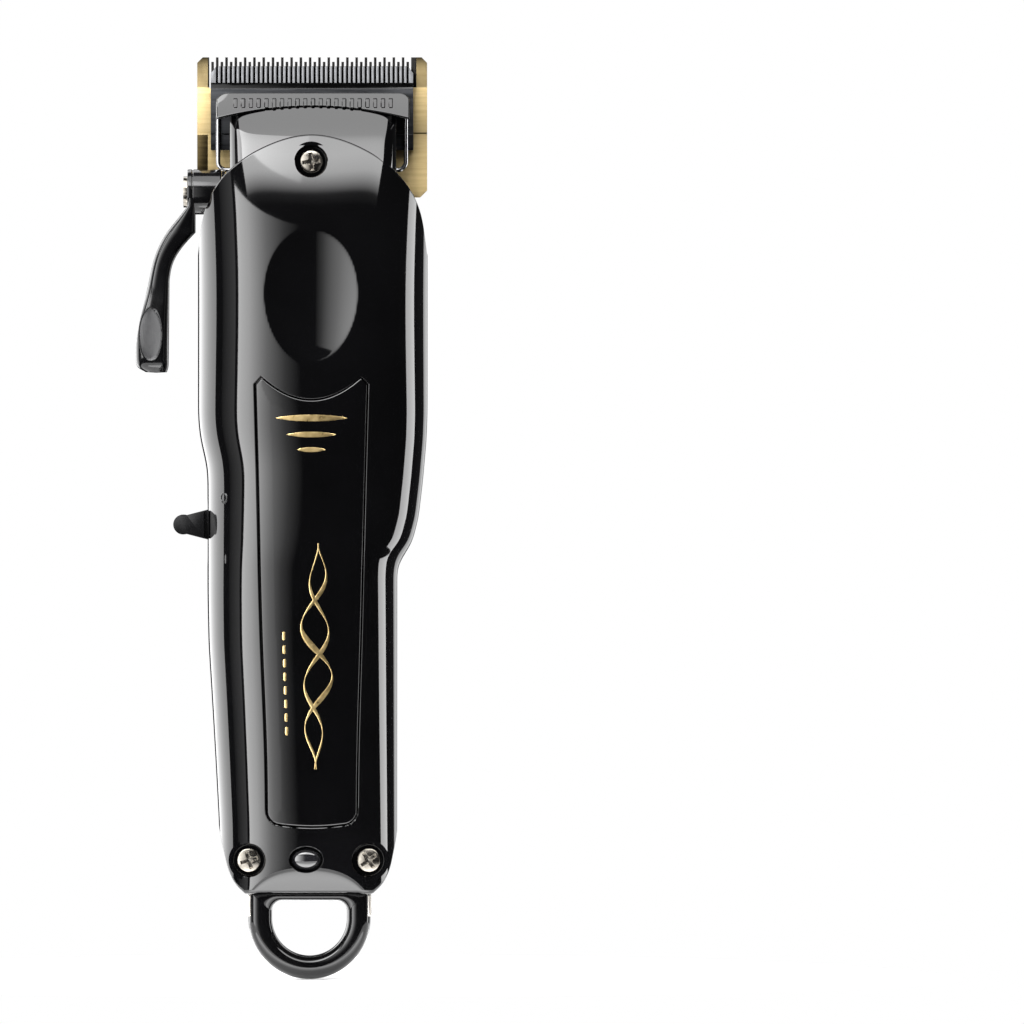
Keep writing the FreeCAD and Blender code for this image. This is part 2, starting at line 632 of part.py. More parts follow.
short = pocket(fb, sk, "fixed_blade_short", 20, both=True)
row_of(fb, short, sk, "H_Axis", q.tooth_pitch * 42, 22, "fixed_blade_shorts")
sk = sketch(fb, "fixed_blade_relief", "XZ_Plane", -2.0)
rect(sk, -q.cutter_half + 3, q.cutter_half - 3, q.cutter_rear + 3.0, q.tooth_root - 3.5)
pocket(fb, sk, "fixed_blade_relief_cut", 0.8)
sk = sketch(fb, "fixed_blade_screw_holes", "XZ_Plane", -7.0)
ring(sk, -11.0, 143.4, q.thread_rad + 0.25)
ring(sk, 11.0, 143.4, q.thread_rad + 0.25)
pocket(fb, sk, "fixed_blade_holes", 20, both=True)
node("fixed_blade", fb)

# ------------------------------------------------------------ moving blade
mb = body("moving_blade")
sk = sketch(mb, "moving_blade_profile", "YZ_Plane")
top_y, low_y = q.cutter_front, q.blade_face - q.blade_play
ctip, crear = q.cutter_tip, q.cutter_rear
loop(sk, [(low_y, crear), (low_y, ctip), (low_y - 0.9, ctip), (top_y, 162.0), (top_y + 0.35, 161.8), (top_y + 0.35, 160.9),
          (top_y, 160.8), (top_y, 151.9), (top_y + 0.35, 151.6), (top_y + 0.35, crear)])
pad(mb, sk, "moving_blade_pad", q.cutter_half * 2, both=True)
sk = sketch(mb, "moving_blade_corners", "XZ_Plane", -7.0)
ch = q.cutter_half
loop(sk, [(-ch - 1, ctip - 1.4), (-ch, ctip - 1.4), (-ch + 1.1, ctip), (-ch + 1.1, ctip + 1), (-ch - 1, ctip + 1)])
loop(sk, [(ch + 1, ctip - 1.4), (ch, ctip - 1.4), (ch - 1.1, ctip), (ch - 1.1, ctip + 1), (ch + 1, ctip + 1)])
pocket(mb, sk, "moving_blade_corner_cuts", 20, both=True)
sk = sketch(mb, "moving_blade_first_gap", "XZ_Plane", -7.0)
first = -19.0
rect(sk, first - q.cutter_gap / 2, first + q.cutter_gap / 2, q.cutter_root, ctip + 1)
gap = pocket(mb, sk, "moving_blade_gap", 20, both=True)
row_of(mb, gap, sk, "H_Axis", q.cutter_pitch * 41, 42, "moving_blade_gaps")
node("moving_blade", mb)

# -------------------------------------------------------------- blade chassis
# U frame of two cheeks on a cross wall over the motor, blade pads and the front bridge.
cs = body("blade_chassis")
sk = sketch(cs, "chassis_cheek", "YZ_Plane")
base_z = q.motor_high
loop(sk, [(-8.0, base_z), (2.0, base_z), (2.0, 142.9), (-8.0, 142.9)])
pad(cs, sk, "chassis_block", q.cheek_outer * 2, both=True)
sk = sketch(cs, "chassis_window", "XZ_Plane", -7.0)
rect(sk, -q.cheek_inner, q.cheek_inner, base_z + 2.5, 150.0)
pocket(cs, sk, "chassis_window_cut", 40, both=True)
sk = sketch(cs, "chassis_bridge", "XZ_Plane", 5.6)
loop(sk, [(-15.0, 142.4), (-15.0, 143.9), (15.0, 143.9), (15.0, 142.4), (16.3, 142.4), (16.3, 144.2), (15.2, 144.2), (15.2, 147.6),
          (-15.2, 147.6), (-15.2, 144.2), (-16.3, 144.2), (-16.3, 142.4)])
pad(cs, sk, "chassis_bridge_pad", 2.4)
sk = sketch(cs, "chassis_pads", "XZ_Plane", -2.0)
rect(sk, -q.cheek_inner, -6.6, 139.6, 147.2)
rect(sk, 6.6, q.cheek_inner, 139.6, 147.2)
pad(cs, sk, "chassis_pad_blocks", 2.2)
sk = sketch(cs, "chassis_pad_holes", "XZ_Plane", 3.0)
ring(sk, -11.0, 143.4, q.thread_rad)
ring(sk, 11.0, 143.4, q.thread_rad)
pocket(cs, sk, "chassis_pad_bores", 8)
sk = sketch(cs, "chassis_front_hole", "XZ_Plane", 9.0)
ring(sk, 0.0, q.front_screw_z, q.thread_rad)
pocket(cs, sk, "chassis_front_bore", 5)
sk = sketch(cs, "chassis_motor_hole", "XY_Plane", 120.0)
ring(sk, 0.0, q.motor_y, 4.6)
ring(sk, -7.5, -3.0, 0.9)
ring(sk, 7.5, -3.0, 0.9)
pocket(cs, sk, "chassis_motor_bores", 9, back=True)
sk = sketch(cs, "chassis_pivot_hole", "YZ_Plane", -20.0)
ring(sk, q.pivot_y, q.pivot_z, q.cheek_bore)
pocket(cs, sk, "chassis_pivot_bore", 8, back=True)
node("blade_chassis", cs)

# ---------------------------------------------------------------- taper lever
arm_outer = [(-24.8, 137.2), (-26.6, 134.9), (-28.6, 132.4), (-30.3, 129.6), (-31.5, 126.6), (-32.3, 123.2), (-33.2, 119.2),
             (-34.4, 115.4), (-35.1, 111.6), (-35.2, 107.2), (-34.7, 105.0), (-33.6, 104.2), (-28.6, 103.7)]
arm_inner = [(-28.4, 122.4), (-27.8, 125.6), (-26.4, 128.3), (-24.9, 130.2), (-23.2, 132.0), (-23.2, 137.2)]
arm_front = Part.BSplineCurve()
arm_front.interpolate([V(x, 0, z) for x, z in arm_outer[:-1]])
arm_back = Part.BSplineCurve()
arm_back.interpolate([V(x, 0, z) for x, z in arm_inner[:-1]])
arm_edges = [arm_front.toShape(), Part.makeLine(V(-33.6, 0, 104.2), V(-28.6, 0, 103.7)),
             Part.makeLine(V(-28.6, 0, 103.7), V(-28.4, 0, 122.4)), arm_back.toShape(),
             Part.makeLine(V(-23.2, 0, 132.0), V(-23.2, 0, 137.2)), Part.makeLine(V(-23.2, 0, 137.2), V(-24.8, 0, 137.2))]
arm = Part.Face(Part.Wire(Part.__sortEdges__(arm_edges)))
arm.translate(V(0, -14, 0))
arm = arm.extrude(V(0, 20, 0))
# side view of the arm: slim neck below the hub, broad thumb paddle
side_pts = [(PY - 4.3, 140.5), (PY - 4.4, 138.6), (PY - 3.5, 133), (PY - 3.3, 127), (PY - 3.9, 121), (PY - 5.2, 115), (PY - 5.8, 110.5),
            (PY - 5.2, 106.0), (PY - 3.2, 103.6), (PY, 102.9), (PY + 3.2, 103.6), (PY + 5.2, 106.0), (PY + 5.8, 110.5), (PY + 5.2, 115),
            (PY + 3.9, 121), (PY + 3.3, 127), (PY + 3.5, 133), (PY + 4.4, 138.6), (PY + 4.3, 140.5)]
side_curve = Part.BSplineCurve()
side_curve.interpolate([V(-40, y, z) for y, z in side_pts])
side = Part.Face(Part.Wire([side_curve.toShape(), Part.makeLine(V(-40, side_pts[-1][0], 140.5), V(-40, side_pts[0][0], 140.5))]))
arm = arm.common(side.extrude(V(20, 0, 0)))
hollow = ellipsoid(-38.4, PY, 112.2, 6.2, 5.2, 9.6)
arm = arm.cut(hollow)
hub = cylinder("x", float(q.hub_outer), PY, PZ, float(q.hub_rad), float(q.hub_inner) - float(q.hub_outer))
lever = hub.fuse(arm)
lever = lever.cut(cylinder("x", -30, PY, PZ, float(q.hub_bore), 20))
lever = lever.cut(cylinder("x", -30, PY, PZ, 3.3, 5.9))
node("taper_lever", fixed("taper_lever_shape", lever.removeSplitter()))

# shaft through the hub, journal in the cheek, disc and eccentric pin
angle = q.pin_angle.number * math.pi / 180
pin_y = q.pivot_y + q.pin_throw * math.cos(angle)
pin_z = q.pivot_z + q.pin_throw * math.sin(angle)
node("lever_cam", fuse("lever_cam_fuse", [
    rod("lever_cam_stem", "x", -23.2, q.pivot_y, q.pivot_z, q.hub_bore - 0.01, -17.6 + 23.2),
    rod("lever_cam_journal", "x", -17.8, q.pivot_y, q.pivot_z, q.shaft_rad, 3.0),
    rod("lever_cam_pin", "x", -14.9, pin_y, pin_z, q.pin_rad, 2.5)]))
screw_head = rod("lever_screw_head", "x", -25.6, q.pivot_y, q.pivot_z, 3.1, 1.5)
slot_cut = box("lever_screw_slot", -26.0, -25.0, q.pivot_y - 2.4, q.pivot_y + 2.4, q.pivot_z - 0.35, q.pivot_z + 0.35)
slot_cut2 = box("lever_screw_slot_b", -26.0, -25.0, q.pivot_y - 0.35, q.pivot_y + 0.35, q.pivot_z - 2.4, q.pivot_z + 2.4)
node("lever_screw", cut("lever_screw_cut", fuse("lever_screw_fuse", [
    screw_head, rod("lever_screw_neck", "x", -24.2, q.pivot_y, q.pivot_z, 1.2, 0.99)]),
    fuse("lever_screw_cross", [slot_cut, slot_cut2])))
node("lever_washer", cut("lever_washer_cut", rod("lever_washer_disc", "x", -17.9, q.pivot_y, q.pivot_z, 4.2, 0.6),
                         rod("lever_washer_hole", "x", -19, q.pivot_y, q.pivot_z, 2.62, 3)))

# --------------------------------------------------------------- carriage
cr = body("blade_carriage")
sk = sketch(cr, "carriage_plate", "XZ_Plane", 1.95)
rect(sk, -14.4, 14.4, 137.6, 147.4)
pad(cr, sk, "carriage_plate_pad", 2.05)
sk = sketch(cr, "carriage_boss", "XZ_Plane", 0.5)
rect(sk, -14.2, -10.5, 143.2, 146.2)
rect(sk, 10.5, 14.2, 143.2, 146.2)
pad(cr, sk, "carriage_boss_pad", 1.6)
sk = sketch(cr, "carriage_ear", "XZ_Plane", 3.8)
rect(sk, -14.6, -12.2, 136.9, 142.6)
pad(cr, sk, "carriage_ear_pad", 4.2)
sk = sketch(cr, "carriage_slot", "YZ_Plane", -20.0)
rect(sk, -9.0, -4.3, pin_z - q.slot_half, pin_z + q.slot_half)
pocket(cr, sk, "carriage_slot_cut", 10, back=True)
sk = sketch(cr, "carriage_light", "XZ_Plane", 0.0)
rect(sk, -8.5, 8.5, 139.4, 142.0)
pocket(cr, sk, "carriage_light_cut", 12, back=True)
node("blade_carriage", cr)

# --------------------------------------------------------- tension spring wire
wx, wy, wl, wh, wr = (float(q.wire_x), float(q.wire_y), float(q.wire_low), float(q.wire_high), float(q.wire_rad))
bend = 1.6
path = [V(-16.6, wy, wh), V(-(wx - bend), wy, wh)]
k45 = bend * (1 - math.sqrt(0.5))
edges = [Part.makeLine(V(-16.4, wy, wh), V(-(wx - bend), wy, wh)),
         Part.Arc(V(-(wx - bend), wy, wh), V(-(wx - k45), wy, wh - k45), V(-wx, wy, wh - bend)).toShape(),
         Part.makeLine(V(-wx, wy, wh - bend), V(-wx, wy, wl + bend)),
         Part.Arc(V(-wx, wy, wl + bend), V(-(wx - k45), wy, wl + k45), V(-(wx - bend), wy, wl)).toShape(),
         Part.makeLine(V(-(wx - bend), wy, wl), V(-14.21, wy, wl))]
left_wire = Part.Wire(edges)
circle = Part.Wire([Part.makeCircle(wr, V(-16.4, wy, wh), V(-1, 0, 0))])
leg = left_wire.makePipeShell([circle], True, True)
leg2 = leg.mirror(V(0, 0, 0), V(1, 0, 0))
cross = cylinder("x", -10.49, wy, wl, wr, 20.98)
node("tension_spring", fixed("tension_spring_wire", Part.makeCompound([leg, leg2, cross])))

# ------------------------------------------------------- cam follower (fork)
cf = body("cam_follower")
sk = sketch(cf, "follower_prongs", "XZ_Plane", 1.0)
rect(sk, -5.4, -q.fork_half, 134.6, 139.2)
rect(sk, q.fork_half, 5.4, 134.6, 139.2)
pad(cf, sk, "follower_prong_pad", 2.7, back=True)
sk = sketch(cf, "follower_stem", "XZ_Plane", 0.35)
rect(sk, -5.4, 5.4, 139.2, q.cutter_rear)
pad(cf, sk, "follower_stem_pad", 2.05, back=True)
sk = sketch(cf, "follower_plate", "XZ_Plane", 0.6)
rect(sk, -9.0, 9.0, 146.2, 151.5)
pad(cf, sk, "follower_plate_pad", 1.2)
sk = sketch(cf, "follower_web", "XZ_Plane", 0.0)
rect(sk, -5.4, 5.4, 146.2, q.cutter_rear)
pad(cf, sk, "follower_web_pad", 0.7)
node("cam_follower", cf)

# -------------------------------------------------------------------- drive
my = q.motor_y
node("motor_can", cut("motor_can_cut", fuse("motor_can_fuse", [
    rod("can_outer", "z", 0, my, q.motor_low, q.motor_rad, q.motor_high - q.motor_low),
    rod("can_nose", "z", 0, my, q.motor_high, 4.5, 2.2)]),
    fuse("motor_can_hollow", [rod("can_inner", "z", 0, my, q.motor_low - 1, q.motor_rad - q.can_wall, q.motor_high - q.motor_low - 1),
                              rod("can_nose_bore", "z", 0, my, 120, 3.0, 9),
                              rod("can_screw_hole_a", "z", -7.5, -3.0, 122, 0.9, 5),
                              rod("can_screw_hole_b", "z", 7.5, -3.0, 122, 0.9, 5)])))
magnet_ring = cut("magnet_ring", rod("magnet_outer", "z", 0, my, 93, q.motor_rad - q.can_wall, 26),
                  rod("magnet_inner", "z", 0, my, 92, 7.6, 28))
node("motor_magnets", cut("motor_magnets_cut", magnet_ring, fuse("magnet_gaps", [
    box("magnet_gap_a", -12, 12, my - 2, my + 2, 92, 120),
    rod("magnet_screw_a", "z", -7.5, -3.0, 92, 0.01, 30)])))
node("motor_shaft", rod("motor_shaft_rod", "z", 0, my, 84.6, q.axle_rad, 47.0))
slots = []
for k in range(5):
    a = k * 2 * math.pi / 5
    slots.append(rod("armature_slot_%d" % k, "z", 5.4 * math.cos(a), my + 5.4 * math.sin(a), 94, 1.5, 24))
node("motor_armature", cut("motor_armature_cut", rod("armature_core", "z", 0, my, 95, 7.2, 22),
                           fuse("armature_tools", slots + [rod("armature_bore", "z", 0, my, 94, q.axle_rad, 24)])))
node("motor_bushings", fuse("motor_bushings_fuse", [
    cut("bushing_top_cut", rod("bushing_top", "z", 0, my, 122.6, 3.0, 4.1), rod("bushing_top_bore", "z", 0, my, 120, q.axle_rad + 0.05, 9)),
    cut("bushing_low_cut", rod("bushing_low", "z", 0, my, 85.5, 3.0, 3.4), rod("bushing_low_bore", "z", 0, my, 84, q.axle_rad + 0.05, 9))]))
node("motor_end_cap", cut("motor_end_cap_cut", fuse("motor_end_cap_fuse", [
    rod("cap_disc", "z", 0, my, q.motor_low - 2.2, q.motor_rad, 2.2),
    rod("cap_spigot", "z", 0, my, q.motor_low, q.motor_rad - q.can_wall - 0.02, 2.4),
    rod("cap_hub", "z", 0, my, 85.5, 4.4, 2.0)]),
    fuse("cap_tools", [rod("cap_bore", "z", 0, my, 84, 3.0, 9), rod("cap_hollow", "z", 0, my, q.motor_low + 0.4, 8.6, 4)])))
node("eccentric_cam", cut("eccentric_cam_cut", fuse("eccentric_cam_fuse", [
    rod("cam_disc", "z", 0, my, 127.6, 4.0, 4.0),
    rod("cam_pin", "z", 0, my + q.cam_throw, 131.6, q.cam_pin_rad, 6.8)]),
    rod("cam_bore", "z", 0, my, 127.0, q.axle_rad, 4.6)))
node("motor_screws", fuse("motor_screws_fuse", [
    rod("motor_screw_a", "z", -7.5, -3.0, 123.2, 0.88, 3.8), rod("motor_screw_head_a", "z", -7.5, -3.0, 127.0, 1.7, 1.1),
    rod("motor_screw_b", "z", 7.5, -3.0, 123.2, 0.88, 3.8), rod("motor_screw_head_b", "z", 7.5, -3.0, 127.0, 1.7, 1.1)]))

# -------------------------------------------------------------------- power
node("battery_cell", fuse("battery_cell_fuse", [
    rod("cell_can", "z", q.cell_x, q.cell_y, q.cell_low, q.cell_rad, q.cell_high - q.cell_low),
    rod("cell_cap", "z", q.cell_x, q.cell_y, q.cell_high, 3.0, 1.2)]))
node("battery_tabs", fuse("battery_tabs_fuse", [
    box("tab_low", q.cell_x - 3, q.cell_x + 3, q.cell_y - 5.5, q.cell_y + 3.0, q.cell_low - 0.3, q.cell_low),
    box("tab_high", q.cell_x - 2.5, q.cell_x + 2.5, q.cell_y - 5.5, q.cell_y + 2.5, q.cell_high + 1.2, q.cell_high + 1.5)]))
node("battery_cradle", cut("battery_cradle_cut", rod("cradle_outer", "z", q.cell_x, q.cell_y, q.cell_low + 4, q.cell_rad + 1.05, 54),
                           fuse("cradle_tools", [rod("cradle_inner", "z", q.cell_x, q.cell_y, q.cell_low, q.cell_rad + 0.05, 70),
                                                 box("cradle_open", -15, 15, -14, q.cell_y + 2.0, 10, 90)])))
pcb = body("circuit_board")
sk = sketch(pcb, "board_outline", "XZ_Plane", 9.0)
loop(sk, [(-7.4, 4.2), (6.4, 4.2), (7.4, 11.5), (7.4, 62.0), (-8.0, 62.0), (-8.0, 11.5)])
pad(pcb, sk, "board_pad", 0.9)
sk = sketch(pcb, "board_parts", "XZ_Plane", 9.0)
rect(sk, -3.0, 3.0, 5.0, 7.4)
pad(pcb, sk, "board_parts_pad", 1.4, back=True)
node("circuit_board", pcb)
node("led_diode", rod("led_diode_rod", "y", q.led_x, -10.9, q.led_z, 1.3, 0.99))
node("led_lens", fixed("led_lens_dome", prism_xz(
    [(float(q.led_x) + lens_x * u, float(q.led_z) + lens_z * v) for u, v in lens_ring], -14.5, -10.95, True).common(
    ellipsoid(float(q.led_x), -9.6, float(q.led_z), 6.2, 3.5, 5.6))))

node("slide_switch_body", cut("slide_switch_cut", box("switch_case", -17.6, -12.6, -4.4, 3.4, 66.0, 80.0),
                              box("switch_case_slot", -18.0, -15.4, -1.2, 1.2, 68.2, 77.0)))
kz = q.knob_z
knob = prism_xz([(-20.4, float(kz) - 3.1), (-20.4, float(kz) + 3.1), (-25.0, float(kz) + 1.9), (-25.0, float(kz) - 1.9)], -2.9, 2.9)
knob = knob.fuse([block(-20.4, -19.2, -1.45, 1.45, float(kz) - 2.6, float(kz) + 2.6),
                  block(-19.3, -15.9, -1.0, 1.0, float(kz) - 1.6, float(kz) + 1.6),
                  cylinder("y", float(q.knob_tip), -2.9, float(kz), float(q.knob_bead), 5.8)])
knob = knob.cut(block(-22.0, -10, -4, 4, 60, 90).cut(block(-22.0, -10, -1.45, 1.45, 60, 90)).common(block(-21.55, -10, -4, 4, 60, 90)))
node("power_switch_knob", fixed("power_switch_knob_shape", knob.removeSplitter()))


def wire(points, radius):
    """Round insulated wire along straight runs joined by tangent arcs."""
    pieces = []
    last = points[0]
    for i in range(1, len(points) - 1):
        a, b, c = points[i - 1], points[i], points[i + 1]
        u, v = (a - b), (c - b)
        reach = 0.45 * min(u.Length, v.Length)
        u.normalize()
        v.normalize()
        half = math.acos(max(-1.0, min(1.0, u.dot(v)))) / 2
        radius_of_turn = reach * math.tan(half)
        middle = (u + v)
        middle.normalize()
        centre = b + middle * (radius_of_turn / math.sin(half))
        start, end = b + u * reach, b + v * reach
        pieces.append(Part.makeLine(last, start))
        pieces.append(Part.Arc(start, centre - middle * radius_of_turn, end).toShape())
        last = end
    pieces.append(Part.makeLine(last, points[-1]))
    line = Part.Wire(pieces)
    first = points[1] - points[0]
    profile = Part.Wire([Part.makeCircle(radius, points[0], first)])
    return line.makePipeShell([profile], True, True)


node("motor_leads", fixed("motor_leads_wires", Part.makeCompound([
    wire([V(9.6, 2.0, 86.1), V(10.4, 1.0, 81.5), V(11.8, -5.0, 76.0), V(8.9, -9.9, 68.0), V(6.4, -9.5, 62.25)], 0.55),
    wire([V(8.2, 5.6, 86.1), V(10.2, 4.6, 81.0), V(13.8, -4.2, 74.0), V(10.7, -8.8, 64.0), V(7.95, -9.5, 57.0)], 0.55)])))
node("battery_leads", fixed("battery_leads_wires", Part.makeCompound([
    wire([V(-1.6, -4.91, 79.6), V(-3.6, -7.2, 80.2), V(-4.6, -10.0, 74.0), V(-4.0, -9.5, 62.02)], 0.5)])))

# --------------------------------------------------------------- tail pieces
hx, hz, hr, hh = q.hook_x, q.hook_z, q.hook_rad, q.hook_hole
hook_round = common("hook_round", rod("hook_disc", "y", hx, -q.hook_half, hz, hr, q.hook_half * 2),
                    box("hook_half_space", hx - hr - 1, hx + hr + 1, -q.hook_half, q.hook_half, hz - hr - 1, hz))
hook_solid = fuse("hook_solid", [hook_round, box("hook_cheeks", hx - hr, hx + hr, -q.hook_half, q.hook_half, hz, 0.0),
                                 box("hook_root", -7.0, 6.0, -q.hook_half, 2.2, -0.5, 6.4)])
hook_space = fuse("hook_space", [rod("hook_hole_disc", "y", hx, -5.0, hz, hh, 10.0),
                                 box("hook_hole_box", hx - hh, hx + hh, -5.0, 5.0, hz, -3.6),
                                 box("hook_hole_top", hx - hh + 2.0, hx + hh - 2.0, -5.0, 5.0, hz, -1.5),
                                 rod("hook_hole_left", "y", hx - hh + 2.1, -5.0, -3.6, 2.1, 10.0),
                                 rod("hook_hole_right", "y", hx + hh - 2.1, -5.0, -3.6, 2.1, 10.0)])
hook_trim = common("hook_space_trim", hook_space, box("hook_space_box", -30, 30, -6, 6, -30, -1.5))
hook_seats = fuse("hook_seats", [box("hook_seat_left", hx - hr - 1, hx - hr + 0.7, -6, 6, -4.6, -0.3),
                                 box("hook_seat_right", hx + hr - 0.7, hx + hr + 1, -6, 6, -4.6, -0.3)])
node("hang_hook", cut("hook_finished", hook_solid, fuse("hook_tools", [hook_trim, hook_seats])))
node("charge_contact_left", box("contact_left_box", hx - hr - 0.15, hx - hr + 0.7, -2.6, 2.6, -4.6, -0.3))
node("charge_contact_right", box("contact_right_box", hx + hr - 0.7, hx + hr + 0.15, -2.6, 2.6, -4.6, -0.3))
node("charge_socket", fuse("charge_socket_fuse", [
    cut("socket_cut", rod("socket_body", "z", 0, q.jack_y, 0.15, q.jack_rad, 9.6),
        fuse("socket_bores", [rod("socket_bore", "z", 0, q.jack_y, -1.0, q.jack_bore, 5.45),
                              rod("socket_bore_deep", "z", 0, q.jack_y, 4.0, q.jack_bore - 0.5, 4.4)])),
    rod("socket_pin", "z", 0, q.jack_y, 4.7, 0.95, 4.2)]))


# ------------------------------------------------------------------- screws
def cross_screw(name, items):
    """Cross-recess screws along Y with the head on the front (-Y) side or, turned, on the back."""
    made = []
    for n, (x, y_head, z, toward, length, head, thick) in enumerate(items):
        lab = "%s_%d" % (name, n)
        if toward > 0:      # head in front, shank to +Y
            parts = fuse(lab + "_f", [rod(lab + "_head", "y", x, y_head, z, head, thick),
                                      rod(lab + "_shank", "y", x, y_head + thick, z, q.thread_rad - 0.01, length)])
            y0, y1 = y_head - 1, y_head + 0.9
        else:
            parts = fuse(lab + "_f", [rod(lab + "_head", "y", x, y_head - thick, z, head, thick),
                                      rod(lab + "_shank", "y", x, y_head - thick - length, z, q.thread_rad - 0.01, length)])
            y0, y1 = y_head - 0.9, y_head + 1
        arms = fuse(lab + "_x", [box(lab + "_xa", x - 1.5, x + 1.5, y0, y1, z - 0.28, z + 0.28),
                                 box(lab + "_xb", x - 0.28, x + 0.28, y0, y1, z - 1.5, z + 1.5)])
        made.append(cut(lab + "_cut", parts, arms))
    return node(name, made[0] if len(made) == 1 else fuse(name + "_pair", made))


cross_screw("front_screw", [(0.0, -11.9, q.front_screw_z, 1, 5.6, q.head_rad - 0.05, 1.7)])
cross_screw("rear_screws", [(q.screw_x_left, -10.7, q.screw_z, 1, 15.0, q.head_rad, 1.6),
                            (q.screw_x_right, -10.7, q.screw_z, 1, 15.0, q.head_rad, 1.6)])
cross_screw("blade_screws", [(-11.0, 7.2, 143.4, -1, 5.0, 2.6, 1.6), (11.0, 7.2, 143.4, -1, 5.0, 2.6, 1.6)])

doc.recompute()
bad = []
for obj in doc.Objects:
    if any(flag in ("Invalid", "Error") for flag in obj.State):
        bad.append("%s %s" % (obj.Name, obj.State))
for name, obj in NODES.items():
    if obj.Shape.isNull() or not obj.Shape.isValid() or obj.Shape.Volume <= 0:
        bad.append("%s shape" % name)
if bad:
    raise RuntimeError("; ".join(bad))
os.makedirs("parts", exist_ok=True)
for name, obj in NODES.items():
    obj.Shape.exportStep("parts/%s.step" % name)
    bb = obj.Shape.BoundBox
    print("%-22s solids %d  volume %9.1f  x %7.2f %7.2f  y %7.2f %7.2f  z %7.2f %7.2f" % (
        name, len(obj.Shape.Solids), obj.Shape.Volume, bb.XMin, bb.XMax, bb.YMin, bb.YMax, bb.ZMin, bb.ZMax))
print(len(NODES), "nodes")
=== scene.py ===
import bpy
import math
import numpy as np
from mathutils import Matrix, Vector
from mathutils.kdtree import KDTree


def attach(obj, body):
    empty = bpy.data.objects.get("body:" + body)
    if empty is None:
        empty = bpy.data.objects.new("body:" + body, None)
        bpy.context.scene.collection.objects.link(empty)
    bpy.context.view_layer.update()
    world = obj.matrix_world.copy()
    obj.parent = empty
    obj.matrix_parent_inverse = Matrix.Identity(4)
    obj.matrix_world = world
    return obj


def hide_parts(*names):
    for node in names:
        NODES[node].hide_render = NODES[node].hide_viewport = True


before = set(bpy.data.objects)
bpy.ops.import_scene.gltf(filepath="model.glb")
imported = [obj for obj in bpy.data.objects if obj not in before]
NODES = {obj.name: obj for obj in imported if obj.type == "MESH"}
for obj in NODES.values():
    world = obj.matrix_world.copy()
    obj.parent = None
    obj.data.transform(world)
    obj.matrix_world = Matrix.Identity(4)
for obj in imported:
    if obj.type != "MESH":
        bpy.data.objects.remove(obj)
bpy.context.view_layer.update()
MM = 0.001
scene = bpy.context.scene


# =====================================================================
# mesh helpers: everything is worked out in millimetres, stored in metres
# =====================================================================
def unit(a):
    return a / np.maximum(np.linalg.norm(a, axis=-1, keepdims=True), 1e-12)


class Build:
    """Collects grids of points with their own normals into one mesh."""

    def __init__(self):
        self.v, self.n, self.f, self.m, self.count = [], [], [], [], 0

    def grid(self, P, N, wrap=False, mat=0, skip=None):
        P = np.asarray(P, float)
        N = unit(np.broadcast_to(np.asarray(N, float), P.shape))
        rows, cols = P.shape[:2]
        idx = np.arange(rows * cols).reshape(rows, cols) + self.count
        if wrap:
            idx = np.concatenate([idx, idx[:, :1]], axis=1)
        quads = np.stack([idx[:-1, :-1], idx[:-1, 1:], idx[1:, 1:], idx[1:, :-1]], axis=-1)
        if skip is not None:
            quads = quads[~skip]
        quads = quads.reshape(-1, 4)
        V, W = P.reshape(-1, 3), N.reshape(-1, 3)
        local = quads - self.count
        d1, d2 = V[local[:, 2]] - V[local[:, 0]], V[local[:, 3]] - V[local[:, 1]]
        face = np.cross(d1, d2)
        mean = W[local].sum(axis=1)
        turn = (face * mean).sum(axis=1) < 0
        quads[turn] = quads[turn][:, ::-1]
        self.v.append(V)
        self.n.append(W)
        self.f.append(quads)
        self.m.append(np.full(len(quads), mat))
        self.count += rows * cols
        return idx

    def disc(self, ring, centre, normal, mat=0):
        """Flat fan between a closed ring of points and a centre."""
        ring = np.asarray(ring, float)
        c = np.asarray(centre, float)
        P = np.stack([ring, ring * 0.02 + c * 0.98])
        return self.grid(P, normal, wrap=True, mat=mat)

    def arrays(self):
        return np.concatenate(self.v), np.concatenate(self.n), np.concatenate(self.f), np.concatenate(self.m)

    def thicken(self, depth):
        """Closes an open skin: inner copy turned round, and a rim along each open edge."""
        V, N, F, M = self.arrays()
        key = np.round(V / 1e-4).astype(np.int64)
        _, same = np.unique(key, axis=0, return_inverse=True)
        same = same.reshape(-1)
        E = np.concatenate([F[:, [0, 1]], F[:, [1, 2]], F[:, [2, 3]], F[:, [3, 0]]])
        S = same[E]
        keep = S[:, 0] != S[:, 1]
        E, S = E[keep], S[keep]
        code = np.minimum(S[:, 0], S[:, 1]) * (same.max() + 1) + np.maximum(S[:, 0], S[:, 1])
        _, inv, cnt = np.unique(code, return_inverse=True, return_counts=True)
        rim = E[cnt[inv.reshape(-1)] == 1]
        W = V - N * depth
        self.v.append(W)
        self.n.append(-N)
        self.f.append((F + self.count)[:, ::-1])
        self.m.append(M)
        self.count += len(W)
        a, b = V[rim[:, 0]], V[rim[:, 1]]
        c, d = W[rim[:, 1]], W[rim[:, 0]]
        quad = np.stack([b, a, d, c], axis=1)
        normal = unit(np.cross(quad[:, 2] - quad[:, 0], quad[:, 3] - quad[:, 1]))
        self.v.append(quad.reshape(-1, 3))
        self.n.append(np.repeat(normal, 4, axis=0))
        self.f.append(np.arange(len(quad) * 4).reshape(-1, 4) + self.count)
        self.m.append(np.zeros(len(quad), int))
        self.count += len(quad) * 4

    def make(self, name, materials):
        V, N, F, M = self.arrays()
        return mesh_object(name, V, F, M, materials, vertex_normals=N)


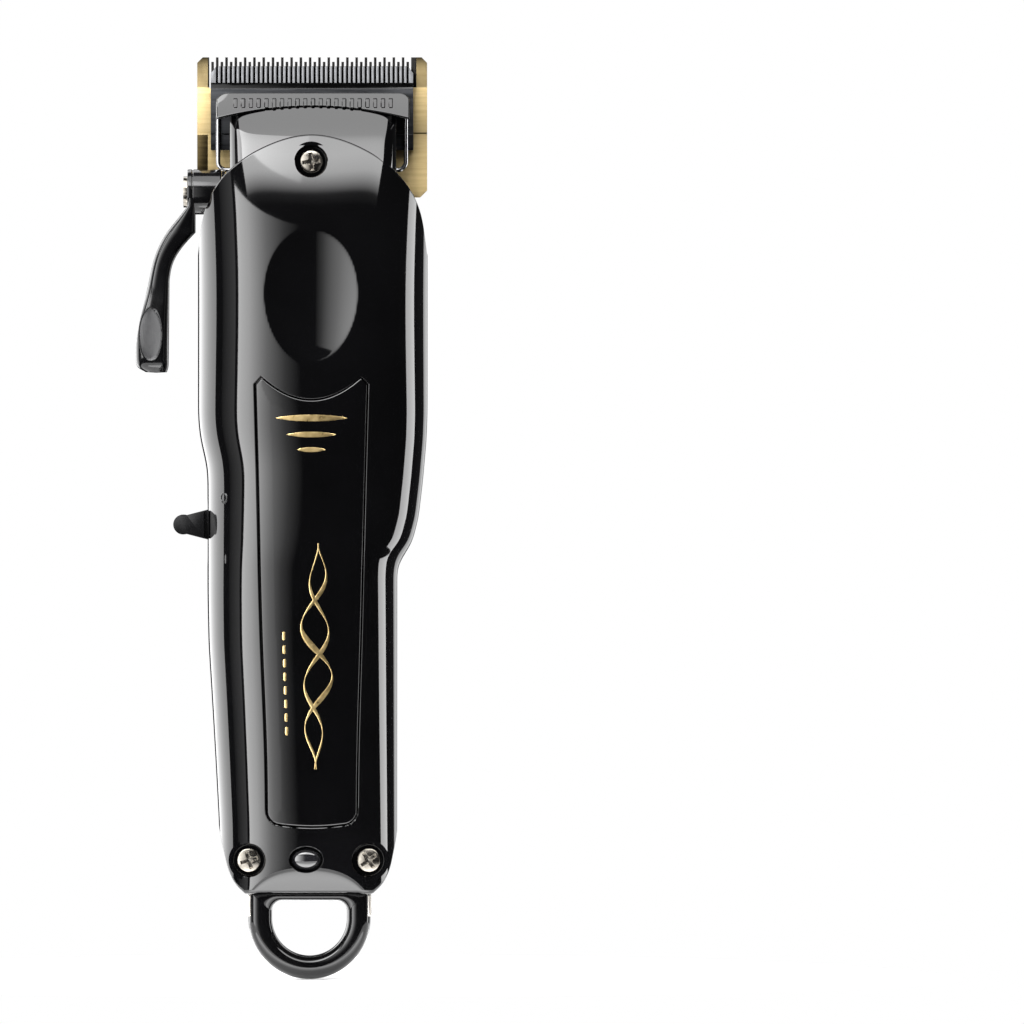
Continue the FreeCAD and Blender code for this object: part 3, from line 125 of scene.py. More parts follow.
def mesh_object(name, V, F, M, materials, vertex_normals=None, loop_normals=None):
    me = bpy.data.meshes.new(name)
    F = np.asarray(F, np.int32)
    me.vertices.add(len(V))
    me.vertices.foreach_set("co", (np.asarray(V, float) * MM).astype(np.float32).ravel())
    me.loops.add(F.size)
    me.loops.foreach_set("vertex_index", F.ravel())
    me.polygons.add(len(F))
    me.polygons.foreach_set("loop_start", np.arange(0, F.size, F.shape[1], dtype=np.int32))
    me.polygons.foreach_set("loop_total", np.full(len(F), F.shape[1], np.int32))
    me.polygons.foreach_set("material_index", np.asarray(M, np.int32))
    me.update(calc_edges=True)
    me.polygons.foreach_set("use_smooth", np.ones(len(F), bool))
    if vertex_normals is not None:
        me.normals_split_custom_set_from_vertices([tuple(x) for x in vertex_normals])
    elif loop_normals is not None:
        me.normals_split_custom_set([tuple(x) for x in loop_normals])
    for material in materials:
        me.materials.append(material)
    ob = bpy.data.objects.new(name, me)
    scene.collection.objects.link(ob)
    return ob


def punch(ob, cutters):
    """Cuts closed tools out of a closed mesh and keeps the skin's own normals."""
    me = ob.data
    count = len(me.vertices)
    co = np.empty(count * 3)
    me.vertices.foreach_get("co", co)
    co = co.reshape(-1, 3)
    loops = len(me.loops)
    vi = np.empty(loops, np.int32)
    me.loops.foreach_get("vertex_index", vi)
    cn = np.empty(loops * 3)
    me.corner_normals.foreach_get("vector", cn)
    nn = np.zeros((count, 3))
    nn[vi] = cn.reshape(-1, 3)
    tree = KDTree(count)
    for i, c in enumerate(co):
        tree.insert(c, i)
    tree.balance()
    slots = len(me.materials)
    for tool in cutters:
        while len(tool.data.materials) < slots:
            tool.data.materials.append(None)
        mod = ob.modifiers.new("cut", "BOOLEAN")
        mod.operation = "DIFFERENCE"
        mod.solver = "EXACT"
        mod.object = tool
    bpy.context.view_layer.update()
    deps = bpy.context.evaluated_depsgraph_get()
    done = bpy.data.meshes.new_from_object(ob.evaluated_get(deps), preserve_all_data_layers=False, depsgraph=deps)
    ob.modifiers.clear()
    near = {}
    out = []
    verts = done.vertices
    for poly in done.polygons:
        fn = np.array(poly.normal)
        for li in poly.loop_indices:
            v = done.loops[li].vertex_index
            if v not in near:
                near[v] = tree.find_n(verts[v].co, 5)
            best, score = fn, -2.0
            for c, i, dist in near[v]:
                if dist < 0.0005:
                    s = float(nn[i] @ fn) - dist * 600
                    if s > score:
                        best, score = nn[i], s
            if score < 0.55:
                best = fn
            out.append(tuple(best))
    done.polygons.foreach_set("use_smooth", np.ones(len(done.polygons), bool))
    done.normals_split_custom_set(out)
    old = ob.data
    ob.data = done
    done.name = old.name
    bpy.data.meshes.remove(old)
    for tool in cutters:
        data = tool.data
        bpy.data.objects.remove(tool)
        bpy.data.meshes.remove(data)
    return ob


def spline(points, samples=400):
    """Natural cubic spline through points, by chord length."""
    p = np.asarray(points, float)
    h = np.linalg.norm(np.diff(p, axis=0), axis=1)
    t = np.concatenate([[0], np.cumsum(h)])
    n = len(p)
    A = np.zeros((n, n))
    B = np.zeros((n, p.shape[1]))
    A[0, 0] = A[-1, -1] = 1
    for i in range(1, n - 1):
        A[i, i - 1], A[i, i], A[i, i + 1] = h[i - 1], 2 * (h[i - 1] + h[i]), h[i]
        B[i] = 6 * ((p[i + 1] - p[i]) / h[i] - (p[i] - p[i - 1]) / h[i - 1])
    m = np.linalg.solve(A, B)
    s = np.linspace(0, t[-1], samples)
    k = np.clip(np.searchsorted(t, s, side="right") - 1, 0, n - 2)
    a, b = (t[k + 1] - s)[:, None], (s - t[k])[:, None]
    hk = h[k][:, None]
    return (m[k] * a ** 3 + m[k + 1] * b ** 3) / (6 * hk) + (p[k] / hk - m[k] * hk / 6) * a + (p[k + 1] / hk - m[k + 1] * hk / 6) * b


def smax(a, b, r):
    return (a + b + np.sqrt((a - b) ** 2 + r * r)) / 2


def smin(a, b, r):
    return (a + b - np.sqrt((a - b) ** 2 + r * r)) / 2


def step(x, lo, hi):
    t = np.clip((x - lo) / (hi - lo), 0, 1)
    return t * t * (3 - 2 * t)


def lines(*spans):
    """Grid lines: (start, end, spacing) spans joined."""
    out = [spans[0][0]]
    for a, b, gap in spans:
        k = max(1, int(round(abs(b - a) / gap)))
        out += list(np.linspace(a, b, k + 1)[1:])
    return np.array(out)


# =====================================================================
# housing skin, the same tables as the CAD model
# =====================================================================
LEFT = [(-20, 18.1), (0, 18.25), (14, 18.6), (26, 19.25), (38, 19.95), (50, 20.7), (60, 20.9), (82, 20.9),
        (85, 21.0), (91, 22.4), (95, 22.8), (180, 22.8)]
RIGHT = [(-20, 17.0), (65, 17.05), (66.5, 17.7), (70.0, 20.0), (75, 21.3), (82.6, 22.2), (90.6, 22.9),
         (96, 23.1), (180, 23.1)]
FRONT = [(-20, 12.2), (0, 13.0), (40, 15.0), (90, 17.0), (114, 18.5), (122, 18.5), (135, 16.6), (145, 14.0),
         (151.6, 11.8), (162, 8.4)]
BACK = [(-20, 13.0), (0, 13.6), (40, 15.2), (80, 16.8), (102, 20.2), (120, 20.2), (129, 17.0), (135, 12.6),
        (139, 8.6), (150, 0.8)]
NOSE = [(120, 16.2), (135, 15.4), (145, 13.4), (151.6, 11.0), (157, 7.2), (162, 4.6), (170, 3.0)]
KX = 1.272


SOFT = {}
ERF = np.vectorize(math.erf)


def soft(table, z, sigma):
    """Table of straight runs, smoothed by a bell of width sigma (closed form, kept on a fine grid)."""
    key = (id(table), sigma)
    if key not in SOFT:
        xs, ys = np.array([p[0] for p in table], float), np.array([p[1] for p in table], float)
        g = np.arange(-19.0, 179.0, 0.02)
        sg = sigma * 0.955
        slope = np.diff(ys) / np.diff(xs)
        out = ys[0] + slope[0] * (g - xs[0])
        for k in range(1, len(slope)):
            t = (g - xs[k]) / sg
            out = out + (slope[k] - slope[k - 1]) * ((g - xs[k]) * 0.5 * (1 + ERF(t / math.sqrt(2))) +
                                                     sg * np.exp(-t * t / 2) / math.sqrt(2 * math.pi))
        SOFT[key] = (g, out)
    g, out = SOFT[key]
    return np.interp(z, g, out)


def centre_half(z):
    left, right = soft(LEFT, z, 1.6), soft(RIGHT, z, 1.3)
    return (right - left) / 2, (right + left) / 2


def depth_of(side, z):
    return soft(FRONT, z, 4.0) if side < 0 else soft(BACK, z, 3.0)


def section(a, power=4.0, crown=0.35):
    u = np.sin(a)
    c = np.cos(a)
    return (1 - crown) * np.sqrt(np.maximum(0, 1 - np.abs(u) ** power)) + crown * c


DOME = spline([(24.2, 124), (23.25, 130.3), (22.6, 134.6), (20.7, 139.6), (17.4, 143.9), (10.0, 149.0), (0.1, 151.6),
               (-9.8, 149.0), (-17.2, 143.9), (-20.4, 139.6), (-22.3, 134.6), (-22.95, 130.3), (-23.9, 124)], 900)[::-1]
TAIL_R = spline([(12.6, 0.0), (14.4, 1.5), (16.1, 4.2), (17.0, 7.4), (18.2, 14)], 120)
TAIL_L = spline([(-19.6, 14), (-18.15, 7.4), (-17.1, 4.2), (-15.4, 1.5), (-13.6, 0.0)], 120)
TAIL = np.concatenate([TAIL_L, np.stack([np.linspace(-13.6, 12.6, 80)[1:-1], np.zeros(78)], 1), TAIL_R])


def inset_line(curve, r, outward):
    """Curve moved inwards by r, with its outward normals, as tables over x."""
    t = unit(np.gradient(curve, axis=0))
    n = np.stack([-t[:, 1], t[:, 0]], 1)
    if (n[len(n) // 2] @ np.array(outward)) < 0:
        n = -n
    for _ in range(12):                      # soften the normals over corners
        n[1:-1] = unit(n[:-2] + 2 * n[1:-1] + n[2:])
    p = curve - n * r
    keep = np.concatenate([[True], np.diff(np.maximum.accumulate(p[:, 0])) > 1e-6])
    return p[keep], n[keep]


# ---- label panel outline (closed, clockwise from the top left peak)
LABEL_TOP = lambda x: 98.6 + 4.4 * ((x - 0.05) / 9.95) ** 2
LAB_L = spline([(-11.2, 101.6), (-10.75, 84), (-9.85, 48), (-9.05, 26), (-8.95, 17.2)], 60)
LAB_R = spline([(11.4, 101.6), (10.9, 84), (10.0, 48), (9.4, 26), (9.3, 17.2)], 60)


def label_sides(z):
    zl = np.clip(z, 15.0, 101.6)
    return (np.interp(zl, LAB_L[::-1, 1], LAB_L[::-1, 0]), np.interp(zl, LAB_R[::-1, 1], LAB_R[::-1, 0]))


def label_inside(x, z):
    """Distance inside the label outline, negative outside (near the edge it is exact enough)."""
    xl, xr = label_sides(z)
    side = np.minimum(x - xl, xr - x)
    xm = np.clip(x, -9.9, 10.0)
    slope = 2 * 4.4 * (xm - 0.05) / 9.95 ** 2
    top = (LABEL_TOP(xm) - z) / np.sqrt(1 + slope ** 2)
    # cut corners beside the peaks
    corner_l = ((x + 9.9) * 1.4 - (z - 103.0) * 1.3) / math.hypot(1.4, 1.3)
    corner_r = (-(x - 10.0) * 1.4 - (z - 103.0) * 1.4) / math.hypot(1.4, 1.4)
    low = z - (13.4 + 0.5 * ((x - 0.2) / 6.8) ** 2)
    r = 2.5                                   # round lower corners
    a, b = side, low
    both = np.where((a < r) & (b < r), r - np.hypot(np.maximum(r - a, 0), np.maximum(r - b, 0)), np.minimum(a, b))
    return np.minimum(np.minimum(both, top), np.minimum(corner_l, corner_r))


def front_features(x, y, z, label=True):
    """Facet, thumb dimple and label recess pressed into the front skin."""
    y = smax(y, -13.0 + (4.3 - z) * 0.4286, 0.25)
    dx, dz = x - 0.15, z - 119.2
    q = 1 - (dx / (9.3 * (1 + 0.045 * dz / 13.2))) ** 2 - (dz / 13.2) ** 2
    y = y + 2.2 * (smax(q, 0.0 * q, 0.035) - 0.0175 * (q < 1.0))
    if label:
        s = label_inside(x, z) + 0.32
        fillet = np.where(s < 0.32, 0.32 - np.sqrt(np.maximum(0.32 ** 2 - np.clip(s, 0, 0.32) ** 2, 0)), 0.32)
        y = y + fillet + 0.88 * step(s, 0.30, 0.40)
    return y


def slot_half(z):
    """Half height (in y) of the switch slot at a height z."""
    zc, half, r = 72.2, 6.7, 1.75
    over = np.maximum(np.abs(z - zc) - (half - r), 0)
    return np.where(over < r, np.sqrt(np.maximum(r * r - over ** 2, 0)), 0)


def shell(side, v, zr, top_curve, tail_curve, rim_top, rim_tail):
    """Half housing skin with rounded rims, end walls and a fine seam bead."""
    pt, nt = inset_line(top_curve, rim_top, (0, 1))
    pb, nb = inset_line(tail_curve, rim_tail, (0, -1))
    zmax, zmid, zlow = float(zr.max()), 96.0, 20.0

    def place(vv, zz):
        z = zz.copy()
        for _ in range(4):
            xc, hw = centre_half(z)
            d = depth_of(side, z)
            left = np.maximum(slot_half(z), 0.13) / (KX * d)
            right = 0.13 / (KX * d)
            xl, xr = label_sides(z)
            al, ar = np.arcsin(np.clip((xl - xc) / hw, -1, 1)), np.arcsin(np.clip((xr - xc) / hw, -1, 1))
            lo, hi = -math.pi / 2 + left, math.pi / 2 - right
            a = np.where(vv < -0.5, al + (lo - al) * (-vv - 0.5) / 0.5,
                         np.where(vv > 0.5, ar + (hi - ar) * (vv - 0.5) / 0.5, al + (ar - al) * (vv + 0.5)))
            x = xc + hw * np.sin(a)
            ztop = np.interp(x, pt[:, 0], pt[:, 1])
            ztail = np.interp(x, pb[:, 0], pb[:, 1])
            z = np.where(zz > zmid, zmid + (zz - zmid) * (ztop - zmid) / (zmax - zmid), zz)
            z = np.where(zz < zlow, zlow - (zlow - zz) * (zlow - ztail) / zlow, z)
            if side < 0:   # rows follow the label's concave top
                xm = np.clip(x, -9.9, 10.0)
                top = LABEL_TOP(xm)
                top = np.where(x < -9.9, np.maximum(103.0 + (x + 9.9) * 1.08, 101.5), top)
                top = np.where(x > 10.0, np.maximum(103.0 - (x - 10.0), 101.5), top)
                fade = np.clip(1 - np.abs(zz - 101.0) / 9.0, 0, 1)
                z = z + (top - 101.0) * fade * fade * (3 - 2 * fade)
        xc, hw = centre_half(z)
        x = xc + hw * np.sin(a)
        y = side * depth_of(side, z) * section(a)
        if side < 0:
            y = front_features(x, y, z)
        else:
            y = smin(y, 19.4, 0.15)
        return np.stack([x, y, z], -1)

    VV, ZZ = np.meshgrid(v, zr)
    e = 2e-4
    P = place(VV, ZZ)
    dv = place(np.clip(VV + e, -1, 1), ZZ) - place(np.clip(VV - e, -1, 1), ZZ)
    dz = place(VV, np.clip(ZZ + 0.004, 0, zmax)) - place(VV, np.clip(ZZ - 0.004, 0, zmax))
    N = unit(np.cross(dv, dz))
    flip = (N * (P - np.array([0, 0, 80.0]))[..., :] * np.array([1, 1, 0])).sum(-1)
    if np.median(flip) < 0:
        N = -N
    build = Build()
    rows_P, rows_N = [P], [N]

    def rim(edge_P, edge_N, nw2, r, y_end):
        nw = np.stack([nw2[:, 0], np.zeros(len(nw2)), nw2[:, 1]], 1)
        ns = edge_N
        nw_t = unit(nw - ns * (nw * ns).sum(-1, keepdims=True))
        out_P, out_N = [], []
        for k in range(1, 7):
            th = k / 6 * math.pi / 2
            out_P.append(edge_P + r * math.sin(th) * nw_t - r * (1 - math.cos(th)) * ns)
            out_N.append(unit(math.cos(th) * ns + math.sin(th) * nw_t))
        last = out_P[-1]
        for k in (0.02, 0.35, 0.7, 1.0):
            p = last.copy()
            p[:, 1] = last[:, 1] + (y_end - last[:, 1]) * k
            out_P.append(p)
            out_N.append(nw)
        return np.array(out_P), np.array(out_N)

    x_top = P[-1, :, 0]
    n_top = np.stack([np.interp(x_top, pt[:, 0], nt[:, 0]), np.interp(x_top, pt[:, 0], nt[:, 1])], 1)
    if side < 0:
        y_end = -0.06 - 2.3 * step(P[-1, :, 2], 141.6, 142.6)
        y_end = np.maximum(y_end, P[-1, :, 1] * 0.9)
    else:
        y_end = np.full(len(x_top), 0.06)
    tp, tn = rim(P[-1], N[-1], unit(n_top), rim_top, y_end)
    x_low = P[0, :, 0]
    n_low = np.stack([np.interp(x_low, pb[:, 0], nb[:, 0]), np.interp(x_low, pb[:, 0], nb[:, 1])], 1)
    bp, bn = rim(P[0], N[0], unit(n_low), rim_tail, np.full(len(x_low), side * 0.06))
    build.grid(np.concatenate([bp[::-1], P, tp]), np.concatenate([bn[::-1], N, tn]))
    # seam bead: the edge turns in so the parting line reads as a fine groove
    for col in (0, -1):
        edge, en = P[:, col], N[:, col]
        sgn = -1.0 if col == 0 else 1.0
        inward = np.stack([-sgn * np.ones(len(edge)), np.zeros(len(edge)), np.zeros(len(edge))], 1)
        toward = np.array([0, -side, 0.0])
        pts, nrm = [edge], [en]
        for k in range(1, 5):
            th = k / 4 * math.pi / 2
            pts.append(edge + 0.10 * math.sin(th) * toward + 0.10 * (1 - math.cos(th)) * inward)
            nrm.append(unit(math.cos(th) * en + math.sin(th) * toward))
        pts.append(pts[-1] + inward * 1.6)
        nrm.append(np.broadcast_to(toward, edge.shape))
        build.grid(np.array(pts), np.array(nrm))
    return build


def slab(name, X, Z, yfun, y_back, r, material, side=-1, rings=5, extra=None):
    """Closed plate: sculpted face over an X-Z grid, rounded edge all round, wall and flat back."""
    X, Z = np.asarray(X, float), np.asarray(Z, float)
    Y = yfun(X, Z)
    e = 0.004
    fx = (yfun(X + e, Z) - yfun(X - e, Z)) / (2 * e)
    fz = (yfun(X, Z + e) - yfun(X, Z - e)) / (2 * e)
    N = unit(np.stack([fx, -np.ones_like(fx), fz], -1)) * (1 if side < 0 else -1)
    P = np.stack([X, Y, Z], -1)
    b = Build()
    b.grid(P, N)
    rows, cols = X.shape
    loop = [(0, j) for j in range(cols)] + [(i, cols - 1) for i in range(1, rows)] + \
           [(rows - 1, j) for j in range(cols - 2, -1, -1)] + [(i, 0) for i in range(rows - 2, 0, -1)]
    li = np.array(loop)
    L, LN = P[li[:, 0], li[:, 1]], N[li[:, 0], li[:, 1]]
    xz = L[:, [0, 2]]
    before = unit(xz - np.roll(xz, 1, 0))
    after = unit(np.roll(xz, -1, 0) - xz)
    t = unit(before + after)
    n = np.stack([t[:, 1], -t[:, 0]], 1)
    area = np.sum(xz[:, 0] * np.roll(xz[:, 1], -1) - np.roll(xz[:, 0], -1) * xz[:, 1])
    if area < 0:
        n = -n
    stretch = 1 / np.clip((n * np.stack([after[:, 1], -after[:, 0]], 1) * (1 if area > 0 else -1)).sum(-1), 0.5, 1)
    nw = np.stack([n[:, 0], np.zeros(len(n)), n[:, 1]], 1)
    nt = unit(nw - LN * (nw * LN).sum(-1, keepdims=True))
    pts, nrm = [L], [LN]
    for k in range(1, rings + 1):
        th = k / rings * math.pi / 2
        pts.append(L + r * math.sin(th) * nt * stretch[:, None] - r * (1 - math.cos(th)) * LN)
        nrm.append(unit(math.cos(th) * LN + math.sin(th) * nt))
    b.grid(np.array(pts), np.array(nrm), wrap=True)
    top = pts[-1]
    wall = [top]
    low = top.copy()
    low[:, 1] = y_back
    wall.append(low)
    b.grid(np.array(wall), np.broadcast_to(nw, (2,) + nw.shape), wrap=True)
    # flat back: strips from the wall's foot to the grid's own outline, then the grid
    PB = P.copy()
    PB[..., 1] = y_back
    back_n = np.array([0, -side, 0.0])
    LB = L.copy()
    LB[:, 1] = y_back
    b.grid(np.array([low, LB]), back_n, wrap=True)
    b.grid(PB, back_n)
    return b.make(name, [material])


def lathe(name, profile, axis, origin, materials, segments=64, mats=None, sharp=35.0):
    """Turned piece: profile of (along, radius) about an axis through origin."""
    prof = np.asarray(profile, float)
    ax = {"x": 0, "y": 1, "z": 2}[axis]
    u, w = [(1, 2), (2, 0), (0, 1)][ax]
    ang = np.linspace(0, 2 * math.pi, segments, endpoint=False)
    b = Build()
    seg = np.diff(prof, axis=0)
    nn = unit(np.stack([-seg[:, 1], seg[:, 0]], 1))       # (along, radial) normal of each piece
    start = 0
    groups = []
    for i in range(1, len(seg)):
        if nn[i - 1] @ nn[i] < math.cos(math.radians(sharp)):
            groups.append((start, i))
            start = i
    groups.append((start, len(seg)))
    for g0, g1 in groups:
        pts = prof[g0:g1 + 1]
        vn = np.zeros_like(pts)
        vn[:-1] += nn[g0:g1]
        vn[1:] += nn[g0:g1]
        vn = unit(vn)
        P = np.zeros((len(pts), segments, 3))
        N = np.zeros_like(P)
        for row in range(len(pts)):
            rad = max(pts[row, 1], 1e-3)
            P[row, :, ax] = pts[row, 0]
            P[row, :, u] = rad * np.cos(ang)
            P[row, :, w] = rad * np.sin(ang)
            N[row, :, ax] = vn[row, 0]
            N[row, :, u] = vn[row, 1] * np.cos(ang)
            N[row, :, w] = vn[row, 1] * np.sin(ang)
        # outward sense: the piece's radial normal points away for an outer wall when walked tail to head
        mat = 0 if mats is None else mats[g0]
        b.grid(P + np.asarray(origin, float), N, wrap=True, mat=mat)
    return b


# =====================================================================
# materials
# =====================================================================
def material(name):
    m = bpy.data.materials.new(name)
    m.use_nodes = True
    nt = m.node_tree
    nt.nodes.clear()
    out = nt.nodes.new("ShaderNodeOutputMaterial")
    bsdf = nt.nodes.new("ShaderNodeBsdfPrincipled")
    nt.links.new(bsdf.outputs[0], out.inputs[0])
    return m, nt, bsdf


def noise(nt, scale, detail=4.0, rough=0.55, stretch=None, source="Object"):
    tc = nt.nodes.new("ShaderNodeTexCoord")
    mp = nt.nodes.new("ShaderNodeMapping")
    nt.links.new(tc.outputs[source], mp.inputs[0])
    if stretch:
        mp.inputs["Scale"].default_value = stretch
    n = nt.nodes.new("ShaderNodeTexNoise")
    n.inputs["Scale"].default_value = scale
    n.inputs["Detail"].default_value = detail
    n.inputs["Roughness"].default_value = rough
    nt.links.new(mp.outputs[0], n.inputs["Vector"])
    return n


def ranged(nt, src, lo, hi, a=0.3, b=0.7):
    r = nt.nodes.new("ShaderNodeMapRange")
    r.inputs["From Min"].default_value = a
    r.inputs["From Max"].default_value = b
    r.inputs["To Min"].default_value = lo
    r.inputs["To Max"].default_value = hi
    nt.links.new(src, r.inputs["Value"])
    return r.outputs[0]


def tint(nt, src, c0, c1, a=0.35, b=0.65):
    r = nt.nodes.new("ShaderNodeValToRGB")
    r.color_ramp.elements[0].position = a
    r.color_ramp.elements[1].position = b
    r.color_ramp.elements[0].color = (*c0, 1)
    r.color_ramp.elements[1].color = (*c1, 1)
    nt.links.new(src, r.inputs[0])
    return r.outputs[0]


def bump(nt, bsdf, src, strength, distance):
    b = nt.nodes.new("ShaderNodeBump")
    b.inputs["Strength"].default_value = strength
    b.inputs["Distance"].default_value = distance
    nt.links.new(src, b.inputs["Height"])
    nt.links.new(b.outputs[0], bsdf.inputs["Normal"])
    return b


def plastic(name, c0, c1, r0, r1, scale=60, bump_s=0.04, bump_d=0.00002, bump_scale=900, ior=1.5, coat=0.0, coat_r=0.03):
    m, nt, b = material(name)
    n = noise(nt, scale)
    nt.links.new(tint(nt, n.outputs[0], c0, c1), b.inputs["Base Color"])
    nt.links.new(ranged(nt, n.outputs[0], r0, r1), b.inputs["Roughness"])
    b.inputs["IOR"].default_value = ior
    if coat:
        b.inputs["Coat Weight"].default_value = coat
        b.inputs["Coat Roughness"].default_value = coat_r
    f = noise(nt, bump_scale, 3.0)
    bump(nt, b, f.outputs[0], bump_s, bump_d)
    return m


def metal(name, c0, c1, r0, r1, stretch=(1, 1, 1), scale=400, bump_s=0.12, bump_d=0.00003, aniso=0.0):
    m, nt, b = material(name)
    n = noise(nt, scale, 5.0, 0.6, stretch)
    nt.links.new(tint(nt, n.outputs[0], c0, c1), b.inputs["Base Color"])
    nt.links.new(ranged(nt, n.outputs[0], r0, r1), b.inputs["Roughness"])
    b.inputs["Metallic"].default_value = 1.0
    bump(nt, b, n.outputs[0], bump_s, bump_d)
    return m


GLOSS = plastic("gloss_black", (0.0007, 0.0007, 0.0008), (0.0013, 0.0013, 0.0015), 0.03, 0.055, scale=45, bump_s=0.012, bump_d=0.00001,
                bump_scale=700, ior=1.52)
LABEL = plastic("label_black", (0.0006, 0.0006, 0.0007), (0.0011, 0.0011, 0.0013), 0.028, 0.05, scale=50, bump_s=0.012, bump_d=0.00001, ior=1.52)
HOOKM = plastic("hook_black", (0.001, 0.001, 0.0011), (0.002, 0.002, 0.0022), 0.045, 0.09, scale=90, bump_s=0.03, bump_d=0.00001, ior=1.42)
KNOBM = plastic("knob_black", (0.002, 0.002, 0.0022), (0.004, 0.004, 0.0044), 0.13, 0.22, scale=200, bump_s=0.06, bump_d=0.00002, bump_scale=2600)
INNER = plastic("inner_black", (0.01, 0.01, 0.011), (0.02, 0.02, 0.021), 0.4, 0.6, scale=200, bump_s=0.1, bump_d=0.00003, bump_scale=2500)
LENSM = plastic("lens_smoked", (0.004, 0.004, 0.005), (0.008, 0.008, 0.009), 0.02, 0.04, scale=60, bump_s=0.01, bump_d=0.00001, coat=0.6)
GOLD = metal("blade_gold", (0.58, 0.445, 0.22), (0.71, 0.555, 0.30), 0.5, 0.6, stretch=(0.06, 1, 1), scale=1500, bump_s=0.10, bump_d=0.00002)
FOIL = metal("foil_gold", (0.62, 0.45, 0.19), (0.74, 0.56, 0.27), 0.26, 0.36, scale=900, bump_s=0.05, bump_d=0.00001)
STEEL = metal("cutter_steel", (0.024, 0.025, 0.027), (0.038, 0.039, 0.042), 0.26, 0.38, stretch=(0.05, 1, 1), scale=1800, bump_s=0.10, bump_d=0.00002)
CHROME = metal("wire_chrome", (0.34, 0.34, 0.35), (0.44, 0.44, 0.45), 0.12, 0.2, stretch=(1, 1, 0.1), scale=900, bump_s=0.05, bump_d=0.00001)
SCREW = metal("screw_nickel", (0.17, 0.158, 0.138), (0.26, 0.24, 0.21), 0.16, 0.26, scale=900, bump_s=0.08, bump_d=0.00002)
CONTACT = metal("contact_nickel", (0.52, 0.49, 0.45), (0.68, 0.65, 0.60), 0.22, 0.34, stretch=(1, 1, 0.1), scale=900, bump_s=0.08, bump_d=0.00002)


def paint_light_by_height(mat, stops):
    """Painted shade and painted highlight: multiplies the base colour along the part's height (z in mm, level), darker
    where shade is painted and lighter where a level is over 1.
    """
    nt = mat.node_tree
    b = [n for n in nt.nodes if n.type == "BSDF_PRINCIPLED"][0]
    src = b.inputs["Base Color"].links[0].from_socket
    tc = nt.nodes.new("ShaderNodeTexCoord")
    sep = nt.nodes.new("ShaderNodeSeparateXYZ")
    nt.links.new(tc.outputs["Object"], sep.inputs[0])
    lo, hi = stops[0][0], stops[-1][0]
    mr = nt.nodes.new("ShaderNodeMapRange")
    mr.inputs["From Min"].default_value = lo * MM
    mr.inputs["From Max"].default_value = hi * MM
    nt.links.new(sep.outputs[2], mr.inputs["Value"])
    ramp = nt.nodes.new("ShaderNodeValToRGB")
    el = ramp.color_ramp.elements
    while len(el) < len(stops):
        el.new(0.5)
    for item, (z, level) in zip(el, stops):
        item.position = (z - lo) / (hi - lo)
        item.color = (level, level, level * 0.97, 1)
    nt.links.new(mr.outputs[0], ramp.inputs[0])
    mx = nt.nodes.new("ShaderNodeMix")
    mx.data_type = "RGBA"
    mx.blend_type = "MULTIPLY"
    mx.inputs[0].default_value = 1.0
    nt.links.new(src, mx.inputs[6])
    nt.links.new(ramp.outputs[0], mx.inputs[7])
    nt.links.new(mx.outputs[2], b.inputs["Base Color"])


# painted shade and highlight on the gold blade: darkest at 152 mm, a light band just under 161.2 mm, and falling nearly
# to black towards the comb tips
paint_light_by_height(GOLD, [(139.0, 1.0), (148.0, 0.72), (151.9, 0.55), (152.2, 0.5), (157.0, 0.8), (161.15, 1.05), (161.25, 0.44), (164.4, 0.29), (165.8, 0.16), (167.0, 0.03)])


def lever_material():
    m, nt, b = material("lever_black_paint")
    n = noise(nt, 160)
    nt.links.new(tint(nt, n.outputs[0], (0.0015, 0.0015, 0.0017), (0.003, 0.003, 0.0033)), b.inputs["Base Color"])
    nt.links.new(ranged(nt, n.outputs[0], 0.09, 0.15), b.inputs["Roughness"])
    b.inputs["IOR"].default_value = 1.42
    f = noise(nt, 2400, 3.0)
    bump(nt, b, f.outputs[0], 0.06, 0.00002)
    return m


def pad_material():
    m, nt, b = material("lever_pad_grain")
    n = noise(nt, 900, 6.0, 0.7)
    nt.links.new(tint(nt, n.outputs[0], (0.010, 0.010, 0.011), (0.024, 0.024, 0.025)), b.inputs["Base Color"])
    nt.links.new(ranged(nt, n.outputs[0], 0.45, 0.62), b.inputs["Roughness"])
    f = noise(nt, 3200, 4.0, 0.65)
    bump(nt, b, f.outputs[0], 0.5, 0.00006)
    return m


LEVER = lever_material()
LEVER_PAD = pad_material()
MARK = plastic("mark_grey", (0.20, 0.20, 0.21), (0.30, 0.30, 0.31), 0.3, 0.45, scale=300)
GREY = plastic("chassis_nylon", (0.10, 0.10, 0.105), (0.16, 0.16, 0.165), 0.5, 0.65, scale=300, bump_s=0.2, bump_d=0.00004, bump_scale=3000)
WHITE = plastic("acetal_white", (0.62, 0.61, 0.57), (0.72, 0.71, 0.67), 0.3, 0.42, scale=300, bump_s=0.08)
MOTOR = metal("motor_zinc", (0.50, 0.51, 0.52), (0.66, 0.67, 0.68), 0.25, 0.4, stretch=(1, 1, 0.1), scale=700)
FERRITE = plastic("magnet_ferrite", (0.03, 0.03, 0.03), (0.07, 0.07, 0.07), 0.5, 0.7, scale=500, bump_s=0.3)
COPPER = metal("core_copper", (0.50, 0.24, 0.12), (0.70, 0.38, 0.20), 0.25, 0.4, stretch=(1, 1, 0.05), scale=1600)
BRONZE = metal("bushing_bronze", (0.42, 0.30, 0.15), (0.58, 0.43, 0.24), 0.35, 0.5, scale=1600)
CELL = plastic("cell_sleeve", (0.02, 0.10, 0.26), (0.03, 0.14, 0.34), 0.2, 0.3, scale=120, bump_s=0.08)
BOARD = plastic("board_mask", (0.01, 0.10, 0.04), (0.02, 0.16, 0.07), 0.25, 0.4, scale=500, bump_s=0.15)
CLEAR = plastic("diode_resin", (0.55, 0.55, 0.50), (0.7, 0.7, 0.64), 0.1, 0.2, scale=300)
RED = plastic("lead_pvc", (0.35, 0.015, 0.012), (0.5, 0.03, 0.025), 0.3, 0.45, scale=400)
